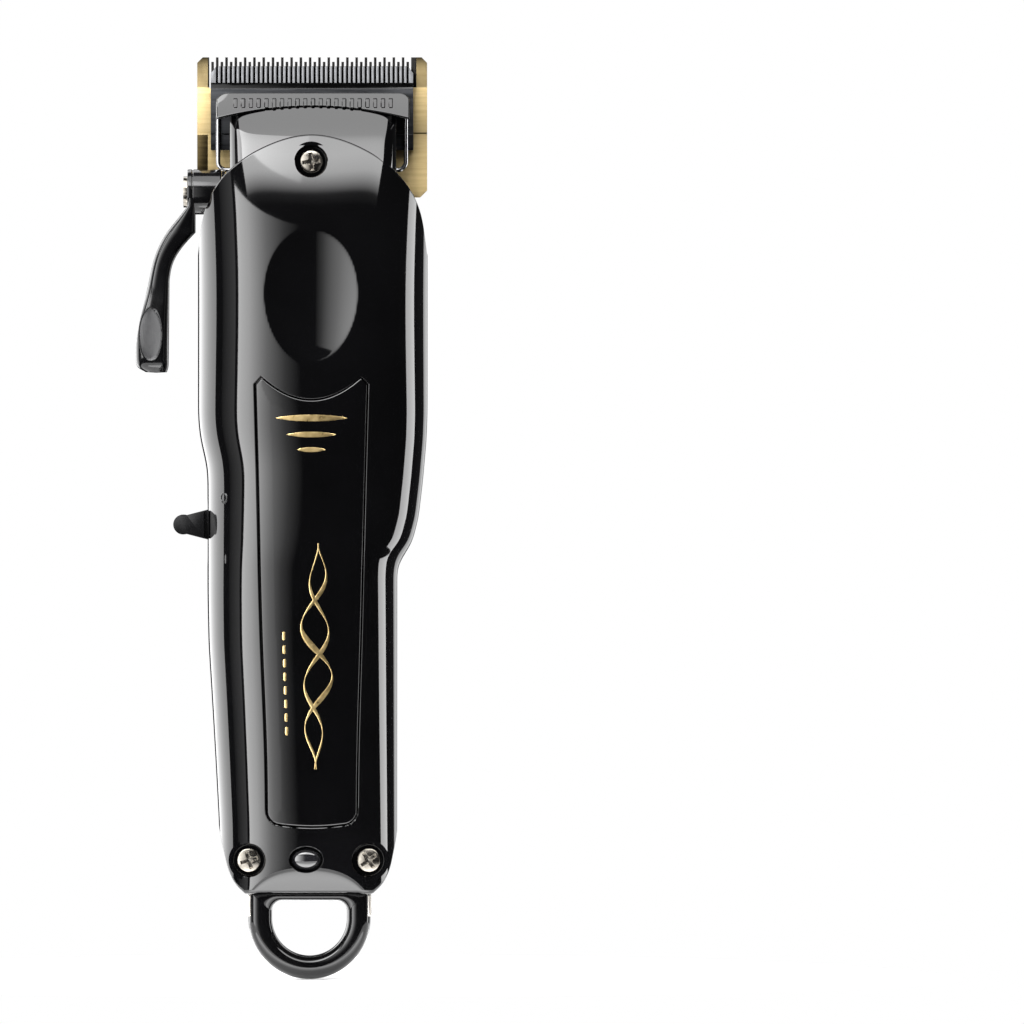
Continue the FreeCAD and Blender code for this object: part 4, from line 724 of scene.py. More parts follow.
NYLON = plastic("nylon_black", (0.012, 0.012, 0.013), (0.025, 0.025, 0.026), 0.4, 0.55, scale=400, bump_s=0.15, bump_d=0.00003, bump_scale=2600)


def give(node, mat):
    ob = NODES[node]
    ob.data.materials.clear()
    ob.data.materials.append(mat)


for name, mat in {
        "upper_housing": GLOSS, "lower_housing": GLOSS, "label_plate": LABEL, "hang_hook": HOOKM,
        "charge_contact_left": CONTACT, "charge_contact_right": CONTACT, "fixed_blade": GOLD, "moving_blade": STEEL,
        "blade_chassis": NYLON, "taper_lever": LEVER, "lever_cam": SCREW, "lever_screw": SCREW, "lever_washer": CHROME,
        "blade_carriage": NYLON, "tension_spring": CHROME, "cam_follower": WHITE, "motor_can": MOTOR,
        "motor_magnets": FERRITE, "motor_shaft": CHROME, "motor_armature": COPPER, "motor_bushings": BRONZE,
        "motor_end_cap": NYLON, "eccentric_cam": WHITE, "motor_screws": SCREW, "battery_cell": CELL,
        "battery_tabs": CONTACT, "battery_cradle": NYLON, "circuit_board": BOARD, "led_diode": CLEAR,
        "led_lens": LENSM, "slide_switch_body": NYLON, "power_switch_knob": KNOBM, "motor_leads": RED,
        "battery_leads": RED, "charge_socket": NYLON, "front_screw": SCREW, "rear_screws": SCREW,
        "blade_screws": SCREW}.items():
    give(name, mat)

# =====================================================================
# housings
# =====================================================================
def v_lines(edge):
    """Columns: dense beside the label's sides (v = -0.5 and 0.5)."""
    inner = np.concatenate([np.linspace(0, 0.42, 24), np.linspace(0.42, 0.5, 14)[1:]])
    outer = 0.5 + np.concatenate([np.linspace(0, 0.03, 10)[1:], np.linspace(0.03, 0.30, 34)[1:], np.linspace(0.30, 0.5, 26)[1:]])
    half = np.concatenate([inner, outer])
    return np.concatenate([-half[::-1][:-1], half])


zr_front = lines((0, 16, 0.3), (16, 62, 1.1), (62, 92, 0.42), (92, 99.5, 0.6), (99.5, 102.5, 0.12), (102.5, 134, 0.42), (134, 151.6, 0.36))
front = shell(-1, v_lines(0), zr_front, DOME, TAIL, 0.55, 0.9)
front.thicken(1.0)
upper = front.make("upper_housing_skin", [GLOSS, GLOSS])


def skin_front_y(x, z, label=True):
    xc, hw = centre_half(z)
    u = np.clip((x - xc) / hw, -1, 1)
    y = -depth_of(-1, z) * section(np.arcsin(u))
    return front_features(x, y, z, label)


def recess_tool(name, cx, cz, rx, rz, floor, flare=0.32, side=-1):
    """Cutter for a round or oval recess whose mouth follows the skin with a soft chamfer."""
    ang = np.linspace(0, 2 * math.pi, 72, endpoint=False)
    rings = []
    for grow, drop in ((flare + 0.35, -0.7), (flare, -0.02), (flare * 0.55, 0.06), (flare * 0.22, 0.17), (0.0, flare), (0.0, 9.0)):
        x, z = cx + (rx + grow) * np.cos(ang), cz + (rz + grow) * np.sin(ang)
        y = skin_front_y(cx + (rx + flare) * np.cos(ang), cz + (rz + flare) * np.sin(ang), False) + drop
        if grow == flare + 0.35:
            y = y - 2.0
        if drop == 9.0:
            y = np.full_like(y, floor)
        rings.append(np.stack([x, y, z], 1))
    b = Build()
    P = np.array(rings)
    radial = np.stack([np.cos(ang), np.zeros(72), np.sin(ang)], 1)
    b.grid(P, np.broadcast_to(radial, P.shape), wrap=True)
    c0, c1 = P[0].mean(0), P[-1].mean(0)
    b.disc(P[0], c0, (0, -1, 0))
    b.disc(P[-1], c1, (0, 1, 0))
    V, N, F, M = b.arrays()
    ob = mesh_object(name, V, F, M, [])
    import bmesh
    bm = bmesh.new()
    bm.from_mesh(ob.data)
    bmesh.ops.remove_doubles(bm, verts=bm.verts, dist=1e-7)
    bmesh.ops.holes_fill(bm, edges=bm.edges)
    bmesh.ops.recalc_face_normals(bm, faces=bm.faces)
    bm.to_mesh(ob.data)
    bm.free()
    return ob


REAR = [(-12.4, 6.8), (11.4, 6.8)]
tools = [recess_tool("tool_a", REAR[0][0], REAR[0][1], 3.3, 3.3, -5.0), recess_tool("tool_b", REAR[1][0], REAR[1][1], 3.3, 3.3, -5.0),
         recess_tool("tool_c", 0.0, 146.0, 3.2, 3.2, -5.0), recess_tool("tool_d", -1.0, 7.0, 3.35, 2.55, -8.0, flare=0.25)]
punch(upper, tools)
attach(upper, "handset")
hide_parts("upper_housing")

BACK_TOP = DOME.copy()
BACK_TOP[:, 1] = smin(BACK_TOP[:, 1], 138.6, 0.5)
zr_back = lines((0, 12, 0.5), (12, 62, 1.6), (62, 82, 0.45), (82, 138.6, 1.0))
vb = np.concatenate([-np.linspace(0, 1, 64)[::-1][:-1], np.linspace(0, 1, 64)])
back = shell(1, vb, zr_back, BACK_TOP, TAIL, 0.7, 0.9)
back.thicken(1.0)
lower = back.make("lower_housing_skin", [GLOSS, GLOSS])
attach(lower, "handset")
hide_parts("lower_housing")


# wells under the screws: tube and floor of black plastic
def well(name, x, z, r, y0, y1):
    b = Build()
    ang = np.linspace(0, 2 * math.pi, 64, endpoint=False)
    radial = np.stack([np.cos(ang), np.zeros(64), np.sin(ang)], 1)
    ring = lambda rad, y: np.array([x, y, z]) + radial * rad
    b.grid(np.array([ring(r, y0), ring(r, y1 - 0.3)]), -radial, wrap=True)
    b.grid(np.array([ring(r, y1 - 0.3), ring(r - 0.09, y1 - 0.09), ring(r - 0.3, y1)]),
           np.array([-radial, unit(-radial + np.array([0, -1.0, 0])), np.broadcast_to(np.array([0, -1.0, 0]), radial.shape)]), wrap=True)
    b.disc(ring(r - 0.3, y1), (x, y1, z), (0, -1, 0))
    b.grid(np.array([ring(r, y0), ring(r + 0.8, y0)]), (0, -1, 0), wrap=True)
    b.grid(np.array([ring(r + 0.8, y0), ring(r + 0.8, y1 + 0.8)]), radial, wrap=True)
    b.disc(ring(r + 0.8, y1 + 0.8), (x, y1 + 0.8, z), (0, 1, 0))
    ob = b.make(name, [GLOSS])
    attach(ob, "handset")
    return ob


well("rear_screw_well_left", REAR[0][0], REAR[0][1], 3.3, -10.3, -9.1)
well("rear_screw_well_right", REAR[1][0], REAR[1][1], 3.3, -10.3, -9.1)
well("front_screw_well", 0.0, 146.0, 3.2, -12.6, -10.2)

# =====================================================================
# nose and lip
# =====================================================================
def nose_y(x, z):
    d = soft(NOSE, z, 1.2)
    u = np.clip((x - 0.3) / 17.35, -1, 1)
    return -d * (0.8 * np.sqrt(np.maximum(0, 1 - np.abs(u) ** 16)) + 0.2 * np.sqrt(np.maximum(0, 1 - 0.9 * u * u)))


xs = 0.3 + 16.55 * np.sin(np.linspace(-1, 1, 90) * math.pi / 2 * 0.985) / math.sin(math.pi / 2 * 0.985)
zs = lines((139.0, 150, 0.8), (150, 157.6, 0.35))
X, Z = np.meshgrid(xs, zs)
nose = slab("upper_housing_nose", X, Z, nose_y, -2.4, 0.6, GLOSS)
ang_t = np.linspace(0, 2 * math.pi, 48, endpoint=False)
tool_b = Build()
ring_t = lambda r, y: np.stack([r * np.cos(ang_t), np.full(48, y), 146.0 + r * np.sin(ang_t)], 1)
tool_b.grid(np.array([ring_t(3.95, -20.0), ring_t(3.95, -1.0)]), np.stack([np.cos(ang_t), 0 * ang_t, np.sin(ang_t)], 1), wrap=True)
tV, tN, tF, tM = tool_b.arrays()
nose_tool = mesh_object("tool_n", tV, tF, tM, [])
import bmesh
bm = bmesh.new()
bm.from_mesh(nose_tool.data)
bmesh.ops.holes_fill(bm, edges=bm.edges)
bmesh.ops.recalc_face_normals(bm, faces=bm.faces)
bm.to_mesh(nose_tool.data)
bm.free()
punch(nose, [nose_tool])
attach(nose, "handset")


def lip_y(x, z):
    base = soft(NOSE, z, 1.2) + 0.42
    u = np.clip((x - 0.3) / 19.3, -1, 1)
    y = -base * (1 - 0.05 * u ** 2 - 0.05 * u ** 8)
    # moulded ribs where a maker would put an oiling note
    k = (x - 0.3) / 1.55
    rib = step(0.29 - np.abs(k - np.round(k)), 0.0, 0.12) * (np.abs(x - 0.3) < 16.0)
    rib = rib * step(z, 156.75, 157.0) * (1 - step(z, 158.55, 158.8))
    return y - 0.2 * rib


lx0, lx1 = 0.3 - 19.3, 0.3 + 19.3
xs = np.linspace(lx0 + 0.35, lx1 - 0.35, 330)
low = 157.2 - 2.5 * ((xs - 0.3) / 19.3) ** 2 + 0.25
over = np.maximum(np.abs(xs - 0.3) - (19.3 - 2.2), 0)
high = 160.0 - (2.2 - np.sqrt(np.maximum(2.2 ** 2 - over ** 2, 0))) - 0.35
t = np.linspace(0, 1, 46)[:, None]
X = np.broadcast_to(xs, (46, len(xs)))
Z = low + (high - low) * t
lip = slab("upper_housing_lip", X, Z, lip_y, -2.4, 0.35, GLOSS)
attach(lip, "handset")

# =====================================================================
# label inlay
# =====================================================================
def label_y(x, z):
    y = skin_front_y(x, z, False)
    d = np.clip(label_inside(x, z), 0, 3.0)
    return y - 0.05 - 0.10 * np.sqrt(np.clip(d / 3.0, 0, 1))


rl = 0.30
zt = lines((0, 0.03, 0.004), (0.03, 0.94, 0.012), (0.94, 1.0, 0.006))
sx = np.concatenate([-np.linspace(0, 1, 40)[::-1][:-1], np.linspace(0, 1, 40)])
sx = np.sign(sx) * (1 - (1 - np.abs(sx)) ** 1.5)
S, T = np.meshgrid(sx, zt)
inset = 0.18 + rl
Xl = np.zeros_like(S)
Zl = np.zeros_like(S)
for _ in range(6):
    xm = np.clip(Xl, -9.9, 10.0)
    top = LABEL_TOP(xm) - inset * 1.06
    top = np.where(Xl < -9.9 + inset, np.minimum(top, 103.0 + (Xl + 9.9) * 1.08 - inset * 1.5), top)
    top = np.where(Xl > 10.0 - inset, np.minimum(top, 103.0 - (Xl - 10.0) - inset * 1.45), top)
    lowz = 13.4 + 0.5 * ((Xl - 0.2) / 6.8) ** 2 + inset
    r = 2.5 - 0.0
    xl, xr = label_sides(Zl)
    near = np.minimum(Xl - xl, xr - Xl)
    lowz = lowz + np.where(near < r, r - inset - np.sqrt(np.maximum((r - inset) ** 2 - np.clip(r - near, 0, r - inset) ** 2, 0)), 0)
    Zl = lowz + (top - lowz) * T
    xl, xr = label_sides(Zl)
    Xl = np.where(S < 0, 0.1 + (-S) * (xl + inset - 0.1), 0.1 + S * (xr - inset - 0.1))
label = slab("label_plate_inlay", Xl, Zl, label_y, -9.0, rl, LABEL)
# the inlay's back follows the recess floor
me = label.data
co = np.empty(len(me.vertices) * 3)
me.vertices.foreach_get("co", co)
co = co.reshape(-1, 3)
backs = np.abs(co[:, 1] * 1000 + 9.0) < 1e-3
co[backs, 1] = (skin_front_y(co[backs, 0] * 1000, co[backs, 2] * 1000, False) + 1.15) * MM
me.vertices.foreach_set("co", co.ravel())
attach(label, "handset")
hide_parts("label_plate")

# =====================================================================
# hard edged parts: the CAD form with its edges rounded over
# =====================================================================
import bmesh


def evaluated(ob):
    bpy.context.view_layer.update()
    deps = bpy.context.evaluated_depsgraph_get()
    me = bpy.data.meshes.new_from_object(ob.evaluated_get(deps), preserve_all_data_layers=True, depsgraph=deps)
    ob.modifiers.clear()
    old = ob.data
    ob.data = me
    bpy.data.meshes.remove(old)
    return me


def refined(node, materials, body, bevel=0.15, segments=3, planes=(), rule=None, angle=28.0):
    src = NODES[node]
    me = src.data.copy()
    me.transform(src.matrix_world)
    ob = bpy.data.objects.new(node + "_form", me)
    scene.collection.objects.link(ob)
    bm = bmesh.new()
    bm.from_mesh(me)
    bmesh.ops.remove_doubles(bm, verts=bm.verts, dist=2e-7)
    bmesh.ops.dissolve_limit(bm, angle_limit=math.radians(0.8), verts=bm.verts, edges=bm.edges)
    for axis, value in planes:
        no = [0, 0, 0]
        no[axis] = 1
        co = [0, 0, 0]
        co[axis] = value * MM
        bmesh.ops.bisect_plane(bm, geom=bm.verts[:] + bm.edges[:] + bm.faces[:], dist=1e-8, plane_co=co, plane_no=no)
    bm.to_mesh(me)
    bm.free()
    me.materials.clear()
    for mat in materials:
        me.materials.append(mat)
    for p in me.polygons:
        p.use_smooth = True
        p.material_index = 0 if rule is None else rule(p.center * 1000, p.normal)
    if bevel:
        mod = ob.modifiers.new("round", "BEVEL")
        mod.width = bevel * MM
        mod.segments = segments
        mod.limit_method = "ANGLE"
        mod.angle_limit = math.radians(angle)
        mod.harden_normals = True
        mod.use_clamp_overlap = True
        me = evaluated(ob)
    else:
        me.set_sharp_from_angle(angle=math.radians(angle))
    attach(ob, body)
    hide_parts(node)
    return ob


def tube(build, path, radius, segments=20, caps=True, mat=0):
    """Round bar along a path (n,3)."""
    p = np.asarray(path, float)
    t = unit(np.gradient(p, axis=0))
    ref = np.array([0.0, 1.0, 0.0])
    a = unit(np.cross(t, ref))
    b = np.cross(a, t)
    ang = np.linspace(0, 2 * math.pi, segments, endpoint=False)
    r = np.broadcast_to(np.asarray(radius, float), (len(p),))
    N = a[:, None, :] * np.cos(ang)[None, :, None] + b[:, None, :] * np.sin(ang)[None, :, None]
    P = p[:, None, :] + N * r[:, None, None]
    build.grid(P, N, wrap=True, mat=mat)
    if caps:
        for end, sign in ((0, -1), (-1, 1)):
            rows_p, rows_n = [], []
            for k in range(0, 6):
                th = k / 5 * math.pi / 2 * 0.98
                rows_p.append(p[end] + N[end] * r[end] * math.cos(th) + sign * t[end] * r[end] * 0.6 * math.sin(th))
                rows_n.append(unit(N[end] * math.cos(th) + sign * t[end] * math.sin(th)))
            build.grid(np.array(rows_p), np.array(rows_n), wrap=True, mat=mat)
            build.disc(rows_p[-1], p[end] + sign * t[end] * r[end] * 0.6, sign * t[end], mat=mat)


def numeric(P, wrap=False):
    """Normals of a grid from its own neighbours."""
    if wrap:
        du = np.roll(P, -1, 1) - np.roll(P, 1, 1)
    else:
        du = np.gradient(P, axis=1)
    dv = np.gradient(P, axis=0)
    return unit(np.cross(du, dv))


def outward(P, N, middle):
    s = ((P - middle) * N).sum(-1)
    return N if np.median(s) > 0 else -N


# ---- blades
# painted shade: a near-black copy of the gold for the left arm under the lever and a thin line at 152 mm
GOLD_PAINTED_SHADE = metal("blade_gold_painted_shade", (0.035, 0.026, 0.012), (0.06, 0.045, 0.02), 0.25, 0.4, stretch=(0.06, 1, 1), scale=1500)
# painted shade and dark reflection: near-black steel for the fixed blade's comb teeth
TIP_PAINTED_SHADE = metal("comb_painted_shade_steel", (0.012, 0.0115, 0.011), (0.022, 0.021, 0.02), 0.2, 0.3, stretch=(1, 1, 0.1), scale=1500)
TOOTH = metal("tooth_steel", (0.052, 0.053, 0.055), (0.074, 0.075, 0.078), 0.25, 0.36, stretch=(1, 1, 0.08), scale=1800, bump_s=0.08, bump_d=0.00002)
# painted shade: a near-black material standing in for the shade of a groove across the moving blade
GROOVE_PAINTED_SHADE = plastic("groove_painted_shade", (0.0005, 0.0005, 0.0005), (0.001, 0.001, 0.001), 0.1, 0.16, scale=300)


def fixed_rule(c, n):
    # painted shade and dark reflection: the comb teeth above 161 mm take the near-black steel
    if c.z > 161.0 and abs(c.x) < 20.86:
        return 1
    if c.z > 166.0 and abs(c.x) < 21.0:
        return 1
    # painted shade: the left arm below 151.7 mm, and a thin line at 152 mm on the right, take the dark copy of the gold
    if c.x < -16 and c.z < 151.7:
        return 2
    if c.x > 16 and 151.8 < c.z < 152.2:
        return 2
    return 0


# the cuts at 151.7, 151.85 and 152.15 mm bound the painted shade, the cuts at 161.2 and +-20.86 mm bound the painted
# shade of the comb
refined("fixed_blade", [GOLD, TIP_PAINTED_SHADE, GOLD_PAINTED_SHADE], "handset", bevel=0.07, segments=2,
        planes=((2, 151.7), (2, 151.85), (2, 152.15), (2, 161.2), (0, -20.86), (0, 20.86)), rule=fixed_rule)


def moving_rule(c, n):
    # painted shade: forward faces between 160.6 and 162.02 mm take the black, a groove's shade on flat steel
    if 160.6 < c.z < 162.02 and n.y < -0.2:
        return 1
    return 2 if c.z > 161.9 else 0


refined("moving_blade", [STEEL, GROOVE_PAINTED_SHADE, TOOTH], "cutter", bevel=0.055, segments=2, rule=moving_rule)
refined("charge_contact_left", [CONTACT], "handset", bevel=0.22)
refined("charge_contact_right", [CONTACT], "handset", bevel=0.22)
refined("blade_chassis", [NYLON], "handset", bevel=0.2, segments=2)
refined("blade_carriage", [NYLON], "carriage", bevel=0.2, segments=2)
refined("cam_follower", [WHITE], "cutter", bevel=0.2, segments=2)
refined("power_switch_knob", [KNOBM], "switch", bevel=0.38, segments=4)
refined("lever_screw", [SCREW], "lever", bevel=0.12, segments=2)

# ---- spring wire
wire_b = Build()


def arc(cx, cz, r, a0, a1, n=10):
    return [(cx + r * math.cos(a), -1.09, cz + r * math.sin(a)) for a in np.linspace(a0, a1, n)]


leg = [(-16.4, -1.09, 159.3), (-17.0, -1.09, 159.3)] + arc(-17.15, 157.7, 1.6, math.pi / 2, math.pi) + \
      [(-18.75, -1.09, z) for z in np.linspace(157.0, 146.6, 14)] + arc(-17.15, 146.2, 1.6, math.pi, 1.5 * math.pi) + \
      [(-15.8, -1.09, 144.6), (-14.21, -1.09, 144.6)]
leg = np.array(leg)
tube(wire_b, leg, 0.45)
tube(wire_b, leg * np.array([-1, 1, 1]), 0.45)
tube(wire_b, np.array([(x, -1.09, 144.6) for x in np.linspace(-10.49, 10.49, 12)]), 0.45)
wire_ob = wire_b.make("tension_spring_form", [CHROME])
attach(wire_ob, "carriage")
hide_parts("tension_spring")

# ---- taper lever
PY, PZ = -4.5, 140.1
OUT = spline([(-24.8, 137.2), (-26.6, 134.9), (-28.6, 132.4), (-30.3, 129.6), (-31.5, 126.6), (-32.3, 123.2),
              (-33.2, 119.2), (-34.4, 115.4), (-35.1, 111.6), (-35.2, 107.2), (-34.7, 105.0), (-33.6, 104.2)], 300)
INN = np.concatenate([[(-23.2, 137.2), (-23.2, 132.0)],
                      spline([(-23.2, 132.0), (-24.9, 130.2), (-26.4, 128.3), (-27.8, 125.6), (-28.4, 122.4)], 80)[1:],
                      [(-28.6, 103.7)]])
SIDE = spline([(4.3, 140.5), (4.4, 138.6), (3.5, 133), (3.3, 127), (3.9, 121), (5.2, 115), (5.8, 110.5),
               (5.2, 106.0), (3.2, 103.6)], 200)
zz = np.concatenate([np.linspace(138.8, 122, 70), np.linspace(122, 106, 110)[1:], 104.0 + 2.0 * np.cos(np.linspace(0, math.pi / 2, 26))[1:-1] ])
zz = np.sort(zz)[::-1]
xo = np.interp(-zz, -OUT[:, 1], OUT[:, 0])
xi = np.interp(-zz, -INN[:, 1], INN[:, 0])
hy = np.interp(-zz, -SIDE[:, 1], SIDE[:, 0])
xc, hx = (xo + xi) / 2, (xi - xo) / 2
end = np.sqrt(np.clip(1 - np.clip((106.0 - zz) / 2.32, 0, 1) ** 2.6, 0, 1))
hx = hx * (0.55 + 0.45 * end)
hy = hy * (0.72 + 0.28 * end)
phi = np.linspace(0, 2 * math.pi, 144, endpoint=False)
cs, sn = np.cos(phi), np.sin(phi)
pw = 2 / 3.6
sx_, sy_ = np.sign(cs) * np.abs(cs) ** pw, np.sign(sn) * np.abs(sn) ** pw
X = xc[:, None] + hx[:, None] * sx_
Y = PY + hy[:, None] * sy_
Z = np.broadcast_to(zz[:, None], X.shape).copy()
Z = Z - 0.35 * (1 - end)[:, None] * (X - xc[:, None]) / 3.0 * 0.3
# thumb hollow on the outer side, and an oval rest on the front
q1 = 1 - ((Y - PY) / 4.3) ** 2 - ((Z - 112.2) / 8.2) ** 2
X = np.where((sx_[None, :] < 0) & (q1 > 0), X + 1.7 * np.sqrt(np.clip(q1, 0, 1)) ** 2 * (2 - np.sqrt(np.clip(q1, 0, 1))), X)
q2 = 1 - ((X + 32.1) / 2.35) ** 2 - ((Z - 111.6) / 5.4) ** 2
dish = np.clip(q2, 0, 1)
Y = np.where(sy_[None, :] < 0, Y + 0.95 * np.sqrt(dish) * np.minimum(1, dish * 6), Y)
P = np.stack([X, Y, Z], -1)
N = outward(P, numeric(P, True), np.array([-30.5, PY, 0]) * np.array([1, 1, 0]) + np.stack([xc * 0, xc * 0, zz], -1)[:, None, :] + np.stack([xc + 30.5, xc * 0, xc * 0], -1)[:, None, :])
arm_b = Build()
cols = P.shape[1]
arm_b.grid(P, N, wrap=True)
arm_b.disc(P[-1], P[-1].mean(0) - np.array([0, 0, 0.12]), (0, 0, -1))
arm_b.disc(P[0], P[0].mean(0), (0, 0, 1))
arm = arm_b.make("taper_lever_arm", [LEVER, LEVER_PAD])
for p in arm.data.polygons:
    c = p.center * 1000
    if p.normal.y < -0.25 and ((c.x + 32.1) / 2.2) ** 2 + ((c.z - 111.6) / 5.2) ** 2 < 1:
        p.material_index = 1
    elif p.normal.x < -0.4 and ((c.y - PY) / 3.9) ** 2 + ((c.z - 112.2) / 7.7) ** 2 < 1:
        p.material_index = 1
arm.visible_glossy = False
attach(arm, "lever")
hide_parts("taper_lever")


def rounded(points, r, n=4):
    """Polyline with its corners rounded (2D)."""
    pts = [np.array(p, float) for p in points]
    out = [pts[0]]
    for i in range(1, len(pts) - 1):
        a, b, c = pts[i - 1], pts[i], pts[i + 1]
        u, w = a - b, c - b
        rr = min(r, np.linalg.norm(u) * 0.45, np.linalg.norm(w) * 0.45)
        s, e = b + u / np.linalg.norm(u) * rr, b + w / np.linalg.norm(w) * rr
        for t in np.linspace(0, 1, n):
            out.append((1 - t) ** 2 * s + 2 * t * (1 - t) * b + t * t * e)
    out.append(pts[-1])
    return np.array(out)


hub_prof = rounded([(-24.1, 0.02), (-24.1, 3.25), (-24.8, 3.4), (-24.8, 4.5), (-23.9, 4.5), (-23.9, 4.32), (-23.6, 4.32),
                    (-23.6, 4.5), (-18.0, 4.5), (-18.0, 0.02)], 0.3)
hub_b = lathe("taper_lever_hub", hub_prof, "x", (0, PY, PZ), [LEVER], segments=96, sharp=50)
hub = hub_b.make("taper_lever_hub", [LEVER])
hub.visible_glossy = False
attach(hub, "lever")

# ---- hang hook: one closed rounded loop
hx0, hz0 = -0.5, -5.0


def walk(points, n):
    p = np.array(points, float)
    d = np.concatenate([[0], np.cumsum(np.linalg.norm(np.diff(p, axis=0), axis=1))])
    s = np.linspace(0, d[-1], n)
    return np.stack([np.interp(s, d, p[:, k]) for k in range(2)], 1)


n_side, n_arc, n_top = 18, 96, 60
outer = np.concatenate([
    walk([(hx0 - 12.2, 0.6), (hx0 - 12.2, hz0)], n_side)[:-1],
    np.stack([hx0 - 12.2 * np.cos(np.linspace(0, math.pi, n_arc)), hz0 - 12.2 * np.sin(np.linspace(0, math.pi, n_arc))], 1),
    walk([(hx0 + 12.2, hz0), (hx0 + 12.2, 0.6)], n_side)[1:],
    walk([(hx0 + 12.2, 0.6), (hx0 - 12.2, 0.6)], n_top + 2)[1:-1]])
inner = np.concatenate([
    walk([(hx0 - 7.5, -3.6), (hx0 - 7.5, hz0)], n_side)[:-1],
    np.stack([hx0 - 7.5 * np.cos(np.linspace(0, math.pi, n_arc)), hz0 - 7.5 * np.sin(np.linspace(0, math.pi, n_arc))], 1),
    walk([(hx0 + 7.5, hz0), (hx0 + 7.5, -3.6)], n_side)[1:],
    walk([(hx0 + 7.5 - 2.1 * (1 - math.cos(a)), -3.6 + 2.1 * math.sin(a)) for a in np.linspace(0, math.pi / 2, 12)] +
         [(hx0 - 7.5 + 2.1 * (1 - math.cos(a)), -3.6 + 2.1 * math.sin(a)) for a in np.linspace(math.pi / 2, 0, 12)],
         n_top + 2)[1:-1]])
C = (outer + inner) / 2
W = np.linalg.norm(outer - inner, axis=1) / 2
D = unit(outer - inner)
th = np.linspace(0, 2 * math.pi, 64, endpoint=False)
pw = 2 / 2.9
ca, sa = np.sign(np.cos(th)) * np.abs(np.cos(th)) ** pw, np.sign(np.sin(th)) * np.abs(np.sin(th)) ** pw
P = np.zeros((len(C), 64, 3))
P[..., 0] = C[:, 0:1] + D[:, 0:1] * W[:, None] * ca
P[..., 2] = C[:, 1:2] + D[:, 1:2] * W[:, None] * ca
P[..., 1] = 3.4 * sa
Pc = np.concatenate([P[-1:], P, P[:1]])
N = numeric(Pc, True)[1:-1]
mid = np.stack([C[:, 0], C[:, 0] * 0, C[:, 1]], -1)[:, None, :]
N = outward(P, N, mid)
hook_b = Build()
hook_b.grid(np.concatenate([P, P[:1]]), np.concatenate([N, N[:1]]), wrap=True)
hook = hook_b.make("hang_hook_form", [HOOKM])
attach(hook, "handset")
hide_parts("hang_hook")


# ---- screws
def screw(name, x, z, y_face, R, thick, length, side, body, mat, turn=0.0):
    """Domed cross recess head and ridged shank; side -1 looks forward, +1 looks back."""
    b = Build()
    rr = np.concatenate([np.linspace(0.02, 1.9, 44), np.linspace(1.95, R - 0.22, 12)])
    a = np.linspace(0, 2 * math.pi, 144, endpoint=False)
    rad, ang = np.meshgrid(rr, a, indexing="ij")

    def height(px, pz):
        r = np.hypot(px, pz)
        dome = 0.42 * np.clip(r / R, 0, 1) ** 2
        c, s = math.cos(turn), math.sin(turn)
        u, w = np.abs(px * c + pz * s), np.abs(-px * s + pz * c)
        width = 0.34 * (1 - 0.25 * r / 1.6)
        arm1 = np.maximum((w - width) / 0.12, (u - 1.55) / 0.25)
        arm2 = np.maximum((u - width) / 0.12, (w - 1.55) / 0.25)
        core = (r - 0.62) / 0.18
        d = np.minimum(np.minimum(arm1, arm2), core)
        return dome + (0.85 - 0.25 * np.clip(r / 1.6, 0, 1)) * (1 - step(d, -0.35, 1.0))

    px, pz = rad * np.cos(ang), rad * np.sin(ang)
    h = height(px, pz)
    e = 0.01
    gx = (height(px + e, pz) - height(px - e, pz)) / (2 * e)
    gz = (height(px, pz + e) - height(px, pz - e)) / (2 * e)
    P = np.stack([x + px, y_face - side * h, z + pz], -1)
    N = unit(np.stack([gx, side * np.ones_like(gx), gz], -1))
    b.grid(P, N, wrap=True)
    b.disc(P[0], P[0].mean(0), (0, side, 0))
    e0 = 0.42 * ((R - 0.22) / R) ** 2
    prof = [(e0, R - 0.22)]
    for k in range(1, 7):
        t = k / 6 * math.pi / 2
        prof.append((e0 + 0.22 * (1 - math.cos(t)) + 0.05 * k / 6, R - 0.22 + 0.22 * math.sin(t)))
    prof += [(thick - 0.1, R), (thick, R - 0.1), (thick, 1.25)]
    k = thick
    while k < thick + length - 1.2:
        prof += [(k + 0.12, 1.02), (k + 0.36, 1.02), (k + 0.5, 1.24), (k + 0.6, 1.24)]
        k += 0.72
    prof += [(thick + length - 0.5, 0.9), (thick + length, 0.35), (thick + length, 0.02)]
    prof = np.array(prof)
    seg = np.diff(prof, axis=0)
    nn = unit(np.stack([-seg[:, 1], seg[:, 0]], 1))
    for i in range(len(seg)):
        smooth = i < 7
        rows_p, rows_n = [], []
        for j in (i, i + 1):
            n = nn[i]
            if smooth and 0 < j < 7:
                n = unit(nn[j - 1] + nn[j])
            rows_p.append(np.stack([x + prof[j, 1] * np.cos(a), np.full(144, y_face - side * prof[j, 0]), z + prof[j, 1] * np.sin(a)], -1))
            rows_n.append(np.stack([n[1] * np.cos(a), np.full(144, -side * n[0]), n[1] * np.sin(a)], -1))
        b.grid(np.array(rows_p), np.array(rows_n), wrap=True)
    ob = b.make(name, [mat])
    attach(ob, body)
    return ob


s1 = screw("front_screw_form", 0.0, 146.0, -11.9, 2.35, 1.7, 5.6, -1, "handset", SCREW, turn=0.12)
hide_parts("front_screw")
s2 = screw("rear_screw_left_form", -12.4, 6.8, -10.7, 2.4, 1.6, 15.0, -1, "handset", SCREW, turn=0.3)
s3 = screw("rear_screw_right_form", 11.4, 6.8, -10.7, 2.4, 1.6, 15.0, -1, "handset", SCREW, turn=0.62)
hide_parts("rear_screws")
s4 = screw("blade_screw_left_form", -11.0, 143.4, 7.2, 2.6, 1.6, 5.0, 1, "handset", SCREW, turn=0.2)
s5 = screw("blade_screw_right_form", 11.0, 143.4, 7.2, 2.6, 1.6, 5.0, 1, "handset", SCREW, turn=0.9)
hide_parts("blade_screws")

